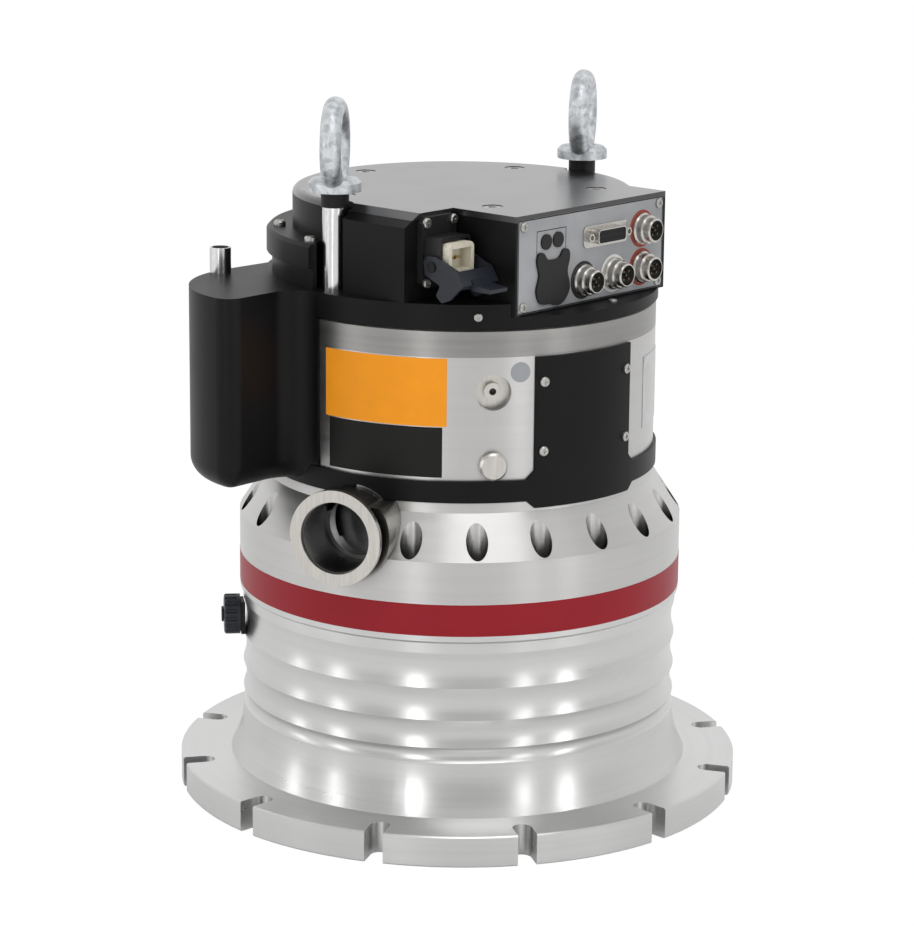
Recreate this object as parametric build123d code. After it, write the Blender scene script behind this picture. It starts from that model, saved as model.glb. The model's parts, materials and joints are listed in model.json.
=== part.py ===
"""Turbomolecular vacuum pump, standing upside down on its high-vacuum flange, in millimetres.

The origin is the centre of the flange's mating face, and +Z runs along the rotor towards the drive
unit. Azimuths are degrees about +Z from +X, and the connector panel faces -Y.
"""

import math
import os

from build123d import *

# --- clearances -----------------------------------------------------------------------------------------
SEAT = 0.05           # radial play of a piece that seats in a bore
GAP = 0.3             # play between a moving piece and what is beside it
RUNNING = 0.05        # radial play of a pin in its hole
OVERRUN = 1.0         # how far a cutting shape runs past what it cuts

# --- inlet flange, ISO-F DN 250 -------------------------------------------------------------------------
FLANGE_R = 167.5
FLANGE_THICK = 18.2
FLANGE_BREAK = 0.8
FLANGE_SLOTS = 12
SLOT_INSET = 12.5     # from the rim to the bolt circle
SLOT_WIDE = 11.0
SLOT_START = -94.6    # azimuth of the first slot
CENTRING_R = 130.5    # recess for the centring ring
CENTRING_DEEP = 5.0
CENTRING_LEDGE = 6.0

# --- inlet housing --------------------------------------------------------------------------------------
BODY_R = 131.3
BODY_WALL = 13.3
BODY_BREAK = 1.5
NECK_STEP = 1.7       # of the neck inside the body
NECK_R = BODY_R - NECK_STEP
FLARE = 7.6           # widening of the neck at the flange
FLARE_MID = (2.0, 14.0)  # point of the flare's curve: beyond the neck, above the flange
NECK_FOOT_R = NECK_R + FLARE
NECK_TOP = 47.0       # where the flare ends
RIB_CRESTS = (48.5, 57.5, 74.0, 93.0, 113.5)
RIB_DEEP = 1.8
JOINT_Z = 143.0       # joint of the inlet housing and the base housing
BODY_RIM = 23.5       # height of the body below the joint
BODY_LIP = JOINT_Z - BODY_RIM
BORE_R = BODY_R - BODY_WALL  # bore that the stator stack sits in
SHELF = 6.0
THROAT_R = BORE_R - SHELF
THROAT_LOW = 16.0
STACK_Z = 24.0        # shoulder that the stator stack stands on

# --- base housing ---------------------------------------------------------------------------------------
BASE_STEP = 16.9      # of the base inside the body, where the screw heads lie
BASE_R = BODY_R - BASE_STEP
SHOULDER_STEP = 0.7
SHOULDER_R = BASE_R + SHOULDER_STEP
CONE_LOW = JOINT_Z + 24.2
CONE_TALL = 24.4
CONE_HIGH = CONE_LOW + CONE_TALL
BAND_LOW = CONE_HIGH + 6.1
BAND_TALL = 12.5
BAND_HIGH = BAND_LOW + BAND_TALL
BASE_TOP = 280.8
RING_TALL = 16.2
RING_TOP = BASE_TOP + RING_TALL
RING_BREAK = 1.6
HOLWECK_LEDGE = 10.0
HOLWECK_BORE_R = BORE_R - HOLWECK_LEDGE
WEB_LOW = BAND_LOW - 1.7
MOTOR_BORE_R = 50.0

# --- housing screws in their counterbored pockets -------------------------------------------------------
POCKETS = 21
POCKET_START = -150.96
POCKET_INSET = 6.8
POCKET_PCR = BODY_R - POCKET_INSET
POCKET_R = 6.25
POCKET_FLOOR = JOINT_Z + 15.0
SCREW_R = 3.0
SCREW_HEAD_R = 5.0
SCREW_HEAD_TALL = 6.0
SCREW_LONG = 30.0

# --- foreline port, ISO-KF DN 40 ------------------------------------------------------------------------
PORT_AZIMUTH = -160.0
PORT_Z = CONE_LOW + 13.3
PORT_PROUD = 15.7
PORT_REACH = BODY_R + PORT_PROUD  # from the pump's axis to the port's face, along the port
PORT_ASIDE = -16.8    # how far the port's axis runs beside the pump's axis
KF_R = 27.5
KF_RIM = 3.0
KF_SLOPE = 15.0       # of the clamp face, in degrees
KF_NECK_R = 22.0
KF_BORE_R = 20.25
KF_LIP_R = 20.75
KF_LIP = 2.5
PORT_FOOT_R = 28.6
PORT_FOOT_BACK = 11.0  # from the port's face to its foot
PORT_SINK = 34.0
PORT_THROUGH = 46.0   # from the port's face to the end of the housing's own bore
PORT_STEP = 2.25      # of the housing's own bore inside the port's
PORT_FOOT_LONG = 50.0
CHANNEL_DEEP = 3.0
CHANNEL_R = HOLWECK_BORE_R + CHANNEL_DEEP  # fore-vacuum channel round the drag stage
CHANNEL_LOW = 170.0

# --- turbo stages: bottom, blade height, hub radius, blade thickness ------------------------------------
SHAFT_R = 16.0
TIP_GAP = 1.5
TIP_R = THROAT_R - TIP_GAP
COLLAR = 6.0          # wall of the drag rotor's hub
HUB_TOP = 160.0
ROTOR_STAGES = ((38.0, 20.0, 55.0, 2.4), (71.0, 13.0, 66.0, 2.2),
                (95.0, 11.0, 76.0, 2.0), (117.0, 9.0, 84.0, 1.8))
ROTOR_BLADES = (18, 20, 24, 24)
ROTOR_ANGLES = (42.0, 36.0, 30.0, 25.0)
STATOR_STAGES = ((60.0, 8.0, 58.0, 1.6), (86.0, 6.0, 69.0, 1.5),
                 (108.0, 6.0, 79.0, 1.5), (128.0, 6.0, 87.0, 1.4))
STATOR_BLADES = (20, 22, 24, 24)
STATOR_ANGLES = (42.0, 36.0, 30.0, 28.0)
STATOR_HOOP = 1.5     # inner hoop that joins the stator blades
BLADE_ROOT = 2.0      # how deep a blade's root sits in its hub
BLADE_SETBACK = 0.8   # of the stator blades from the faces of their rim
SPACER_BORE_R = THROAT_R
HOLWECK_SEAT = JOINT_Z + 7.0  # step that clamps the stack from above

# --- Holweck stage --------------------------------------------------------------------------------------
SLEEVE_WALL = 5.0
HOLWECK_IN_R = HOLWECK_BORE_R - SLEEVE_WALL
HOLWECK_GAP = 0.6
HOLWECK_WALL = 3.4
HOLWECK_DISC = 8.0
HOLWECK_LOW = 138.0
HOLWECK_HIGH = 189.0
HOLWECK_GROOVES = 12
GROOVE_WIDE = 14.0
GROOVE_DEEP = 3.0
HOLWECK_LEAN = 24.0
SLEEVE_HIGH = 190.0   # end of the stator sleeve

# --- inlet-side bearing ---------------------------------------------------------------------------------
STAR_ARMS = 3
STAR_ARM_WIDE = 9.0
STAR_THICK = 8.0
STAR_HUB_R = 20.0
STAR_HUB_DROP = 4.0
STAR_HUB_BREAK = 3.0
STAR_START = -138.0
PIN_R = 5.0
PIN_TOP = 62.0
MAGNET_STATOR_R = 10.0
MAGNET_TALL = 18.0
MAGNET_GAP = 0.5
MAGNET_RING_WALL = 2.5
SAFETY_TALL = 5.0
HOLLOW_TOP = 66.0
SHAFT_LOW = 35.0
BEARING_GAP = 1.0     # between the pieces on the pin, along it

# --- motor and the bearing at the drive end -------------------------------------------------------------
BEARING_LOW = BASE_TOP - 14.8
BEARING_WIDE = 11.0
BEARING_R = 20.5
RACE_WALL = 3.4
BALLS = 8
HOLDER_R = 30.0
HOLDER_LIP = 2.0
MOTOR_HIGH = BEARING_LOW - 18.0
MOTOR_TALL = 38.0
MOTOR_LOW = MOTOR_HIGH - MOTOR_TALL
MOTOR_STATOR_BORE_R = 27.0
ROTOR_MAGNET_R = 25.0
WINDING_TALL = 7.0
WINDING_INSET = 3.0
WINDING_CLEAR = 4.0   # of the winding heads outside the core's bore
JOURNAL_R = 9.0
NOSE = 4.0            # taper of the shaft's end, where it takes up the oil
SHAFT_TOP = BASE_TOP + 3.2
CARTRIDGE_R = 22.0
CARTRIDGE_BORE_R = 10.0
CARTRIDGE_TALL = 12.0

# --- black cover round the base housing -----------------------------------------------------------------
COVER_SKIN = 1.8
PANEL_LEFT = -117.0
PANEL_RIGHT = -82.0
PANEL_SCREW_INSET = 2.3
PANEL_CORNER = 4.8
RING_SCREWS_AT = (-133.8, -46.0, 46.0)
LEDGE_SCREW_X = 11.0
LEDGE_SCREW_OUT = 8.0
BULGE_DROP = 4.3
BULGE_LOW = BAND_LOW - BULGE_DROP
COVER_SCREW_Z = (BAND_HIGH + 16.0, BASE_TOP - 14.8)
COVER_SCREW = (2.8, 1.6)
RING_SCREW = (2.4, 1.4)

# --- fittings in the base housing's wall ----------------------------------------------------------------
FITTING_AZIMUTH = -129.2
PURGE_Z = BASE_TOP - 20.0
PURGE_R = 10.2
PURGE_DEEP = 9.0
NOZZLE_R = 5.0
NOZZLE_BORE_R = 2.0
NOZZLE_TALL = 6.0
NOZZLE_FLANGE = 2.5
PLUG_Z = BAND_HIGH + 8.7
PLUG_R = 8.0
PLUG_HEAD = 4.5
PLUG_BREAK = 1.2
PLUG_THREAD_R = 4.8
PLUG_LONG = 12.0

# --- drive unit -----------------------------------------------------------------------------------------
DRIVE_STEP = 1.1
DRIVE_R = BASE_R + DRIVE_STEP
DRIVE_RING_WIDE = 38.0
DRIVE_RING_TALL = 14.0
DRIVE_RING_TOP = RING_TOP + DRIVE_RING_TALL
LEDGE_TALL = 6.5
LEDGE_Z = RING_TOP + LEDGE_TALL
HOUSING_INSET = 16.0
HOUSING_R = DRIVE_R - HOUSING_INSET
HOUSING_TALL = 49.0
HOUSING_TOP = DRIVE_RING_TOP + HOUSING_TALL
HOUSING_ROUND = 4.0
LID_THICK = 3.5
HOUSING_WALL = 4.0
BLOCK_LEFT = -65.3
BLOCK_RIGHT = 67.3
PANEL_Y = 18.0 - DRIVE_R
LEDGE_DEEP = 13.5
LEDGE_BACK = PANEL_Y + LEDGE_DEEP
STEP_OUT = 6.0
STEP_X = -HOUSING_R - STEP_OUT
STEP_Y = -51.0
STEP_BACK_Y = -4.0
FACET_TALL = 7.0
FACET_WIDE = 12.5
REAR_LOWER = 12.0     # widths and heights of the rear cover's two steps
REAR_UPPER = 15.2
REAR_STEP_Z = DRIVE_RING_TOP + 12.0
REAR_TOP_Z = DRIVE_RING_TOP + 26.0
REAR_FROM = -1.5
REAR_TO = 172.5
REAR_EDGE = 2.0
LID_SCREWS = 5
LID_SCREW_START = 18.0
LID_SCREW_INSET = 21.5
LID_SCREW_PCR = HOUSING_R - LID_SCREW_INSET
LID_SCREW_R = 5.6
LID_SCREW_HEAD = 1.6
LID_SCREW_LONG = 10.0
LID_SHANK_R = 2.0
LID_SINK = 2.0
LID_BOSS_R = 8.5
REAR_SCREW_R = 3.5
REAR_SCREW_TALL = 3.0
REAR_SCREWS_AT = (168.0, 137.0, 88.0, 39.0)
REAR_SCREW_OUT = 7.5

# --- cooling box ----------------------------------------------------------------------------------------
BOX_NEAR_Y = 24.5
BOX_FAR_Y = DRIVE_R - 19.5
BOX_END_X = -DRIVE_R - 52.0
BOX_SWEEP = 66.0      # radius of the large round corner
BOX_CORNER = 10.0
BOX_HOLLOW = (17.0, 18.5)  # hollow corner between the box and the drive ring, along x and y
BOX_HOLLOW_MID = (4.5, 5.0)
BOX_FOOT_X = 49.5 - DRIVE_R
BOX_FOOT_DROP = 2.0
BOX_LOW = BAND_LOW + 2.3
BOX_TOP = DRIVE_RING_TOP
BOX_EDGE = 12.0
NIPPLE_AT = (BOX_END_X + 57.5, BOX_FAR_Y - 6.0)
NIPPLE_R = 6.25
NIPPLE_WALL = 1.2
NIPPLE_FLOOR = 2.0
NIPPLE_TALL = 15.0

# --- lifting points, DIN 580 M12 ------------------------------------------------------------------------
POST_OUT = 0.5
POST_PCR = HOUSING_R + POST_OUT
POST_AZIMUTH = 175.6
POST_SINK = 11.0      # of the post below the top of the drive's base ring
POST_LOW = DRIVE_RING_TOP - POST_SINK
POST_R = 7.25
POST_DROP = 2.0
POST_TOP = HOUSING_TOP - POST_DROP
SLEEVE_R = 8.0
SLEEVE_TALL = 9.0
SLEEVE_TOP = POST_TOP + SLEEVE_TALL
SCALLOP_R = 10.5
EYE_COLLAR_R = 15.0
EYE_COLLAR = 7.0
EYE_COLLAR_BREAK = 2.0
EYE_RING_R = 21.0     # centre line of the ring
EYE_SECTION_R = 6.0
EYE_CENTRE = 26.0     # ring's centre above the seat
EYE_TURNS = (36.5, 32.5)
EYE_THREAD_R = 6.0
EYE_GRIP = 11.0       # thread in the post

# --- connector panel, with places from the plate's centre -----------------------------------------------
PLATE_WIDE = 128.7
PLATE_TALL = 53.0
PLATE_THICK = 1.5
PLATE_PLAY = 0.1
PLATE_X = 0.95
PLATE_Z = DRIVE_RING_TOP + 20.0
PLATE_SCREW_INSET = (4.35, 3.8)
PLATE_SCREW = (2.8, 1.3)
SOCKETS_AT = ((-7.55, -13.7), (19.45, -13.3), (44.85, -12.8), (44.85, 9.6))
SOCKET_NUT_R = 9.2
SOCKET_NUT_TALL = 2.6
SOCKET_NECK_R = 8.2
SOCKET_NECK_TALL = 6.8
SOCKET_NUT_BREAK = 0.8
SOCKET_R = 6.9
SOCKET_LONG = 11.0
SOCKET_WALL = 1.1
SOCKET_DEEP = 3.5
SOCKET_FLOOR = 1.0
SOCKET_BREAK = 0.6
DSUB_AT = (11.15, 10.5)
DSUB_FLANGE = (39.2, 12.5, 1.0)
DSUB_FLANGE_CORNER = 3.0
DSUB_SHELL = (25.0, 8.4, 6.0)
DSUB_SHELL_CORNER = 2.4
DSUB_WALL = 0.6
DSUB_PLAY = 0.1
DSUB_INSERT_CORNER = 1.8
DSUB_INSERT_SINK = 0.6
DSUB_JACK_X = 16.6
DSUB_JACK = (2.6, 4.6)
DSUB_JACK_BORE_R = 1.4
DSUB_JACK_FLOOR = 2.0
DISCS_AT = ((-40.75, 12.2), (-30.45, 12.4))
DISC_R = 4.4
DISC_THICK = 1.0
BLANK_AT = (-34.95, -24.0)
BLANK_HALF = 14.4
BLANK_WAIST = 12.2
BLANK_THICK = 1.4

# --- mains socket with its locking lever ----------------------------------------------------------------
MAINS_X = -81.0
MAINS_Z = HOUSING_TOP - 22.0
MAINS_FLANGE = (28.0, 40.0, 4.0)
MAINS_FLANGE_CORNER = 3.5
MAINS_HOLES = (22.0, 33.6)
MAINS_SCREW = (2.9, 1.8)
HOOD_DROP = 2.0       # of the hood and the insulator below the flange's middle
HOOD_WIDE = 25.0
HOOD_TALL = 23.0
HOOD_LONG = 12.0
HOOD_WALL = 1.8
HOOD_CORNER = 2.0
INSERT_WIDE = 20.8
INSERT_TALL = 17.4
INSERT_PROUD = 4.5
INSERT_CORNER = 3.4
MOUTH = (15.6, 12.0)
MOUTH_DEEP = 8.0
MOUTH_SHIFT = -0.4
CONTACTS = 3
CONTACT_R = 0.9
CONTACT_TALL = 3.0
LEVER_PIVOT_OUT = 11.5  # from the wall behind the mains socket
LEVER_PIVOT_DROP = 4.5  # below the hood's middle
LEVER_PIVOT_Y = STEP_Y - LEVER_PIVOT_OUT
LEVER_PIVOT_Z = MAINS_Z - HOOD_DROP - LEVER_PIVOT_DROP
LEVER_PIN_R = 2.0
LEVER_PIN_HEAD = (3.0, 0.6)
LEVER_PLATE = 1.8
LEVER_GAP = 0.4
LEVER_CORNER = 1.6
LEVER_ARM = ((-6.4, 2.4), (-3.0, 6.0), (3.0, 6.0), (18.9, -0.2), (23.8, -7.9), (19.7, -11.1),
             (13.6, -17.0), (7.5, -19.3), (3.2, -15.7), (6.4, -9.6), (-4.6, -5.2))
LEVER_BAR = ((18.9, -0.2), (23.8, -7.9), (20.6, -10.6), (17.2, -3.0))
LEVER_TONGUE = ((21.6, -4.8), (26.0, -8.0), (37.0, -9.2), (36.4, -11.4), (25.0, -11.4), (20.4, -9.6))
TONGUE_WIDE = 14.0

# --- venting valve --------------------------------------------------------------------------------------
VENT_AZIMUTH = 138.0
VENT_Z = 102.5
VENT_BLOCK = (16.0, 20.0, 4.5)
VENT_BLOCK_CORNER = 2.0
VENT_SINK = 2.6
VENT_SEAT_R = NECK_R - VENT_SINK
VENT_ASIDE = 4.0
KNOB_R = 12.0
KNOB_TALL = 9.5
KNOB_ROUND = 1.5
KNOB_FLUTES = 16
FLUTE_R = 1.3
FLUTE_OUT = 0.4
FLUTE_LOW = 2.0
VENT_STEM_R = 3.0
VENT_STEM_SINK = 1.0
VENT_CAP = (4.6, 1.2)

UP = (Align.CENTER, Align.CENTER, Align.MIN)


def disc(radius, low, high):
    """Upright cylinder on the pump's axis between two heights."""
    return Pos(0, 0, low) * Cylinder(radius, high - low, align=UP)


def ring(outer, inner, low, high):
    """Upright ring on the pump's axis."""
    return disc(outer, low, high) - disc(inner, low - OVERRUN, high + OVERRUN)


def turned(corners):
    """Solid of revolution about the pump's axis from (radius, height) corners."""
    return revolve(Plane.XZ * make_face(Polyline(*corners, close=True)), Axis.Z)


def polar(radius, azimuth):
    """Plan coordinates of a point at a radius and an azimuth."""
    return radius * math.cos(math.radians(azimuth)), radius * math.sin(math.radians(azimuth))


def outward(azimuth, radius, height, aside=0.0):
    """Plane across a radial line: its Z points away from the axis and its Y points up."""
    along = Vector(*polar(1, azimuth), 0)
    across = Vector(*polar(1, azimuth + 90), 0)
    return Plane(along * radius + across * aside + Vector(0, 0, height), x_dir=across, z_dir=along)


def facing_front(x, y, z):
    """Plane whose Z points to the front, -Y, with its X along +X."""
    return Plane((x, y, z), x_dir=(1, 0, 0), z_dir=(0, -1, 0))


def around(shape, count, start=0.0):
    """Copies of a shape turned evenly about the pump's axis."""
    return [Rot(0, 0, start + k * 360 / count) * shape for k in range(count)]


def span(x0, x1, y0, y1, z0, z1):
    """Box between two corners."""
    return Pos((x0 + x1) / 2, (y0 + y1) / 2, (z0 + z1) / 2) * Box(x1 - x0, y1 - y0, z1 - z0)


def pan_screw(plane, radius, tall):
    """Pan head with a cross recess, standing on a plane."""
    head = Cylinder(radius, tall, align=UP)
    head = chamfer(head.edges().group_by(Axis.Z)[-1], tall / 3)
    cross = Box(radius, radius / 4, tall) + Box(radius / 4, radius, tall)
    return plane * (head - Pos(0, 0, tall) * cross)


# --- casing ---------------------------------------------------------------------------------------------

def inlet_housing():
    """Flange, flared neck with shallow ribs and the bore of the turbo stages."""
    outline = [Polyline((FLANGE_R, 0), (FLANGE_R, FLANGE_THICK), (NECK_FOOT_R, FLANGE_THICK))]
    flare = (NECK_R + FLARE_MID[0], FLANGE_THICK + FLARE_MID[1])
    outline.append(ThreePointArc((NECK_FOOT_R, FLANGE_THICK), flare, (NECK_R, NECK_TOP)))
    outline.append(Line((NECK_R, NECK_TOP), (NECK_R, RIB_CRESTS[0])))
    for low, high in zip(RIB_CRESTS, RIB_CRESTS[1:]):
        deep = (NECK_R - RIB_DEEP, (low + high) / 2)
        outline.append(ThreePointArc((NECK_R, low), deep, (NECK_R, high)))
    outline.append(Polyline((NECK_R, RIB_CRESTS[-1]), (NECK_R, BODY_LIP), (BODY_R, BODY_LIP + BODY_BREAK),
                            (BODY_R, JOINT_Z), (BORE_R, JOINT_Z), (BORE_R, STACK_Z),
                            (THROAT_R, STACK_Z), (THROAT_R, THROAT_LOW),
                            (CENTRING_R - CENTRING_LEDGE, CENTRING_DEEP), (CENTRING_R, CENTRING_DEEP),
                            (CENTRING_R, 0), (FLANGE_R, 0)))
    body = revolve(Plane.XZ * make_face(outline), Axis.Z)
    rims = body.edges().filter_by(GeomType.CIRCLE).sort_by(SortBy.RADIUS)[-2:]
    body = chamfer(rims, FLANGE_BREAK)
    slot = extrude(SlotCenterToCenter(2 * SLOT_INSET, SLOT_WIDE), FLANGE_THICK + 2 * OVERRUN)
    body -= around(Pos(FLANGE_R, 0, -OVERRUN) * slot, FLANGE_SLOTS, SLOT_START)
    deep = SCREW_LONG - POCKET_FLOOR + JOINT_Z + OVERRUN
    tapped = Pos(POCKET_PCR, 0, JOINT_Z) * Cylinder(SCREW_R + SEAT, 2 * deep)
    body -= pocketed(tapped)
    return body


def pocketed(shape):
    """Copies of a shape at the housing screws, left out where the foreline port's foot is."""
    taken = PORT_AZIMUTH + math.degrees(math.asin(PORT_ASIDE / POCKET_PCR))
    kept = []
    for k in range(POCKETS):
        azimuth = POCKET_START + k * 360 / POCKETS
        away = math.radians((azimuth - taken + 180) % 360 - 180) * POCKET_PCR
        if abs(away) > PORT_FOOT_R + POCKET_R / 2:
            kept.append(Rot(0, 0, azimuth) * shape)
    return kept


def housing_skin():
    """Outer surface of the base housing, filled to the axis."""
    return turned([(0, JOINT_Z), (BODY_R, JOINT_Z), (BODY_R, CONE_LOW), (SHOULDER_R, CONE_HIGH),
                   (SHOULDER_R, BAND_LOW), (BASE_R, BAND_LOW), (BASE_R, BASE_TOP), (0, BASE_TOP)])


def port_plane():
    """Plane of the foreline port's sealing face."""
    return outward(PORT_AZIMUTH, PORT_REACH, PORT_Z, PORT_ASIDE)


def port_bore(radius, deep=PORT_SINK, proud=PORT_SINK):
    """Cylinder along the foreline port's axis."""
    return port_plane() * (Pos(0, 0, -deep) * Cylinder(radius, deep + proud, align=UP))


def base_housing():
    """Fore-vacuum housing with its cone, the Holweck bore, the motor bore and the bearing seat."""
    web_top = BEARING_LOW - HOLDER_LIP
    web_low = MOTOR_HIGH + WINDING_TALL + HOLDER_LIP
    web_r = BEARING_R - RACE_WALL
    hollow = turned([(0, JOINT_Z - OVERRUN), (BORE_R, JOINT_Z - OVERRUN), (BORE_R, HOLWECK_SEAT),
                     (HOLWECK_BORE_R, HOLWECK_SEAT), (HOLWECK_BORE_R, CHANNEL_LOW),
                     (CHANNEL_R, CHANNEL_LOW), (CHANNEL_R, WEB_LOW), (MOTOR_BORE_R, WEB_LOW),
                     (MOTOR_BORE_R, web_low), (web_r, web_low), (web_r, web_top),
                     (HOLDER_R + SEAT, web_top), (HOLDER_R + SEAT, BASE_TOP + OVERRUN),
                     (0, BASE_TOP + OVERRUN)])
    body = housing_skin() - hollow
    pocket = Cylinder(POCKET_R, CONE_HIGH - POCKET_FLOOR + OVERRUN, align=UP)
    body -= pocketed(Pos(POCKET_PCR, 0, POCKET_FLOOR) * pocket)
    hole = Cylinder(SCREW_R + GAP, POCKET_FLOOR - JOINT_Z + 2 * OVERRUN, align=UP)
    body -= pocketed(Pos(POCKET_PCR, 0, JOINT_Z - OVERRUN) * hole)
    body -= port_bore(KF_NECK_R + SEAT)
    body -= port_bore(KF_BORE_R - PORT_STEP, PORT_THROUGH)
    recess = Cylinder(PURGE_R, 2 * PURGE_DEEP, align=UP)
    body -= outward(FITTING_AZIMUTH, BASE_R - PURGE_DEEP, PURGE_Z) * recess
    body -= outward(FITTING_AZIMUTH, BASE_R - PLUG_LONG, PLUG_Z) * Cylinder(
        PLUG_THREAD_R + SEAT, 2 * PLUG_LONG, align=UP)
    return body


def base_cover():
    """Turned end ring that closes the base housing and holds the oil cartridge."""
    body = chamfer(disc(BASE_R, BASE_TOP, RING_TOP).edges().group_by(Axis.Z)[-1], RING_BREAK)
    return body - disc(CARTRIDGE_R + SEAT, BASE_TOP - OVERRUN, BASE_TOP + CARTRIDGE_TALL + SEAT)


def foreline_port():
    """KF flange with its tapered clamp face, the neck and the foot on the housing."""
    slope = (KF_R - KF_NECK_R) * math.tan(math.radians(KF_SLOPE))
    profile = [(KF_BORE_R, -PORT_SINK), (KF_NECK_R, -PORT_SINK), (KF_NECK_R, -KF_RIM - slope),
               (KF_R, -KF_RIM), (KF_R, 0), (KF_LIP_R, 0), (KF_LIP_R, -KF_LIP), (KF_BORE_R, -KF_LIP)]
    spool = port_plane() * revolve(Plane.XZ * make_face(Polyline(*profile, close=True)), Axis.Z)
    foot = port_bore(PORT_FOOT_R, PORT_FOOT_BACK + PORT_FOOT_LONG, -PORT_FOOT_BACK)
    foot -= port_bore(KF_NECK_R - OVERRUN, 2 * PORT_FOOT_LONG)
    foot -= housing_skin()
    foot -= span(-2 * BODY_R, 0, -BODY_R, BODY_R, BAND_LOW - GAP, BASE_TOP)
    foot = foot.solids().sort_by(SortBy.VOLUME)[-1]
    return spool + foot


def screw(head_r, head_tall, shank_r, long):
    """Cylinder-head screw with its seat at the origin and its shank downward."""
    head = Cylinder(head_r, head_tall, align=UP)
    head -= Pos(0, 0, head_tall / 2) * extrude(RegularPolygon(head_r / 2, 6), head_tall)
    return head + Pos(0, 0, -long) * Cylinder(shank_r, long, align=UP)


def side_cover():
    """Thin black band round the base housing, with the front panel that rises from it."""
    outer = BASE_R + COVER_SKIN
    middle = (PANEL_LEFT + PANEL_RIGHT) / 2
    half = outer * math.sin(math.radians((PANEL_RIGHT - PANEL_LEFT) / 2))
    corner = half + PANEL_CORNER
    left = [(-half, BASE_TOP - GAP), (-half, BAND_HIGH + PANEL_CORNER), (-corner, BAND_HIGH),
            (-corner, BAND_LOW), (-half, BULGE_LOW)]
    outline = left + [(-x, z) for x, z in reversed(left)]
    panel = extrude(make_face(Polyline(*outline, close=True)), 2 * BASE_R)
    panel = Plane(Vector(0, 0, 0), x_dir=(*polar(1, middle + 90), 0), z_dir=(*polar(1, middle), 0)) * panel
    skin = ring(outer, BASE_R + SEAT, BAND_LOW, BASE_TOP) + ring(
        outer, SHOULDER_R + SEAT, BULGE_LOW, BAND_LOW)
    cover = ring(outer, BASE_R + SEAT, BAND_LOW, BAND_HIGH) + (skin & panel)
    return cover - port_bore(KF_NECK_R + COVER_SKIN)


def cover_screws():
    """Small pan heads on the panel, on the drive's base ring and on its ledge."""
    heads = []
    for azimuth in (PANEL_LEFT + PANEL_SCREW_INSET, PANEL_RIGHT - PANEL_SCREW_INSET):
        for height in COVER_SCREW_Z:
            heads.append(pan_screw(outward(azimuth, BASE_R + COVER_SKIN, height), *COVER_SCREW))
    for azimuth in RING_SCREWS_AT:
        heads.append(pan_screw(outward(azimuth, DRIVE_R, (RING_TOP + DRIVE_RING_TOP) / 2), *RING_SCREW))
    heads.append(pan_screw(Plane((LEDGE_SCREW_X, PANEL_Y - LEDGE_SCREW_OUT, LEDGE_Z)), *RING_SCREW))
    return heads


def purge_fitting():
    """Nozzle in the bottom of the sealing-gas recess."""
    base = Cylinder(PURGE_R - SEAT, NOZZLE_FLANGE, align=UP) + Cylinder(NOZZLE_R, NOZZLE_TALL, align=UP)
    base -= Cylinder(NOZZLE_BORE_R, 3 * NOZZLE_TALL)
    return outward(FITTING_AZIMUTH, BASE_R - PURGE_DEEP, PURGE_Z) * base


def blanking_plug():
    """Round-headed plug on a cylindrical thread."""
    head = chamfer(Cylinder(PLUG_R, PLUG_HEAD, align=UP).edges().group_by(Axis.Z)[-1], PLUG_BREAK)
    thread = Pos(0, 0, OVERRUN - PLUG_LONG) * Cylinder(PLUG_THREAD_R, PLUG_LONG, align=UP)
    return outward(FITTING_AZIMUTH, BASE_R + SEAT, PLUG_Z) * (head + thread)


def cooling_box():
    """Cover of the cooling water connections, swept into the housing's side."""
    low_y = BOX_NEAR_Y
    wide, deep = BOX_HOLLOW
    in_x, in_y = BOX_HOLLOW_MID
    centre = (BOX_END_X + BOX_SWEEP, BOX_FAR_Y - BOX_SWEEP)
    start = (centre[0] - math.sqrt(BOX_SWEEP ** 2 - (centre[1] - low_y) ** 2), low_y)
    at_45 = (centre[0] - BOX_SWEEP * math.sqrt(0.5), centre[1] + BOX_SWEEP * math.sqrt(0.5))
    foot = (-math.sqrt(DRIVE_R ** 2 - (low_y - deep) ** 2), low_y - deep)
    flat = (foot[0] - wide, low_y)
    rear = [(centre[0], BOX_FAR_Y), (BOX_FOOT_X, BOX_FAR_Y - BOX_FOOT_DROP), (BOX_FOOT_X, foot[1]), foot]
    curve = [ThreePointArc(start, at_45, rear[0]), Polyline(*rear),
             ThreePointArc(foot, (foot[0] - in_x, low_y - in_y), flat), Line(flat, start)]
    plan = make_face(curve)
    corner = plan.vertices().sort_by_distance(Vertex(*start, 0))[0]
    plan = fillet(corner, BOX_CORNER)
    body = Pos(0, 0, BOX_LOW) * extrude(plan, BOX_TOP - BOX_LOW)
    rim = body.edges().group_by(Axis.Z)[0]
    rim = rim.filter_by(lambda e: e.center().X < flat[0] or e.center().Y > DRIVE_R * math.sqrt(0.5))
    body = fillet(rim, BOX_EDGE)
    body -= disc(BASE_R + SEAT, 0, RING_TOP)
    body -= disc(BASE_R + COVER_SKIN + SEAT, 0, BAND_HIGH + GAP)
    body -= disc(DRIVE_R + SEAT, RING_TOP - GAP, BOX_TOP + OVERRUN)
    return body.solids().sort_by(SortBy.VOLUME)[-1]


def cooling_nipple():
    """Open pipe end of the water connection."""
    bore = Pos(0, 0, NIPPLE_FLOOR) * Cylinder(NIPPLE_R - NIPPLE_WALL, NIPPLE_TALL, align=UP)
    return Pos(*NIPPLE_AT, BOX_TOP) * (Cylinder(NIPPLE_R, NIPPLE_TALL, align=UP) - bore)


# --- turbo stages ---------------------------------------------------------------------------------------

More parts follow.
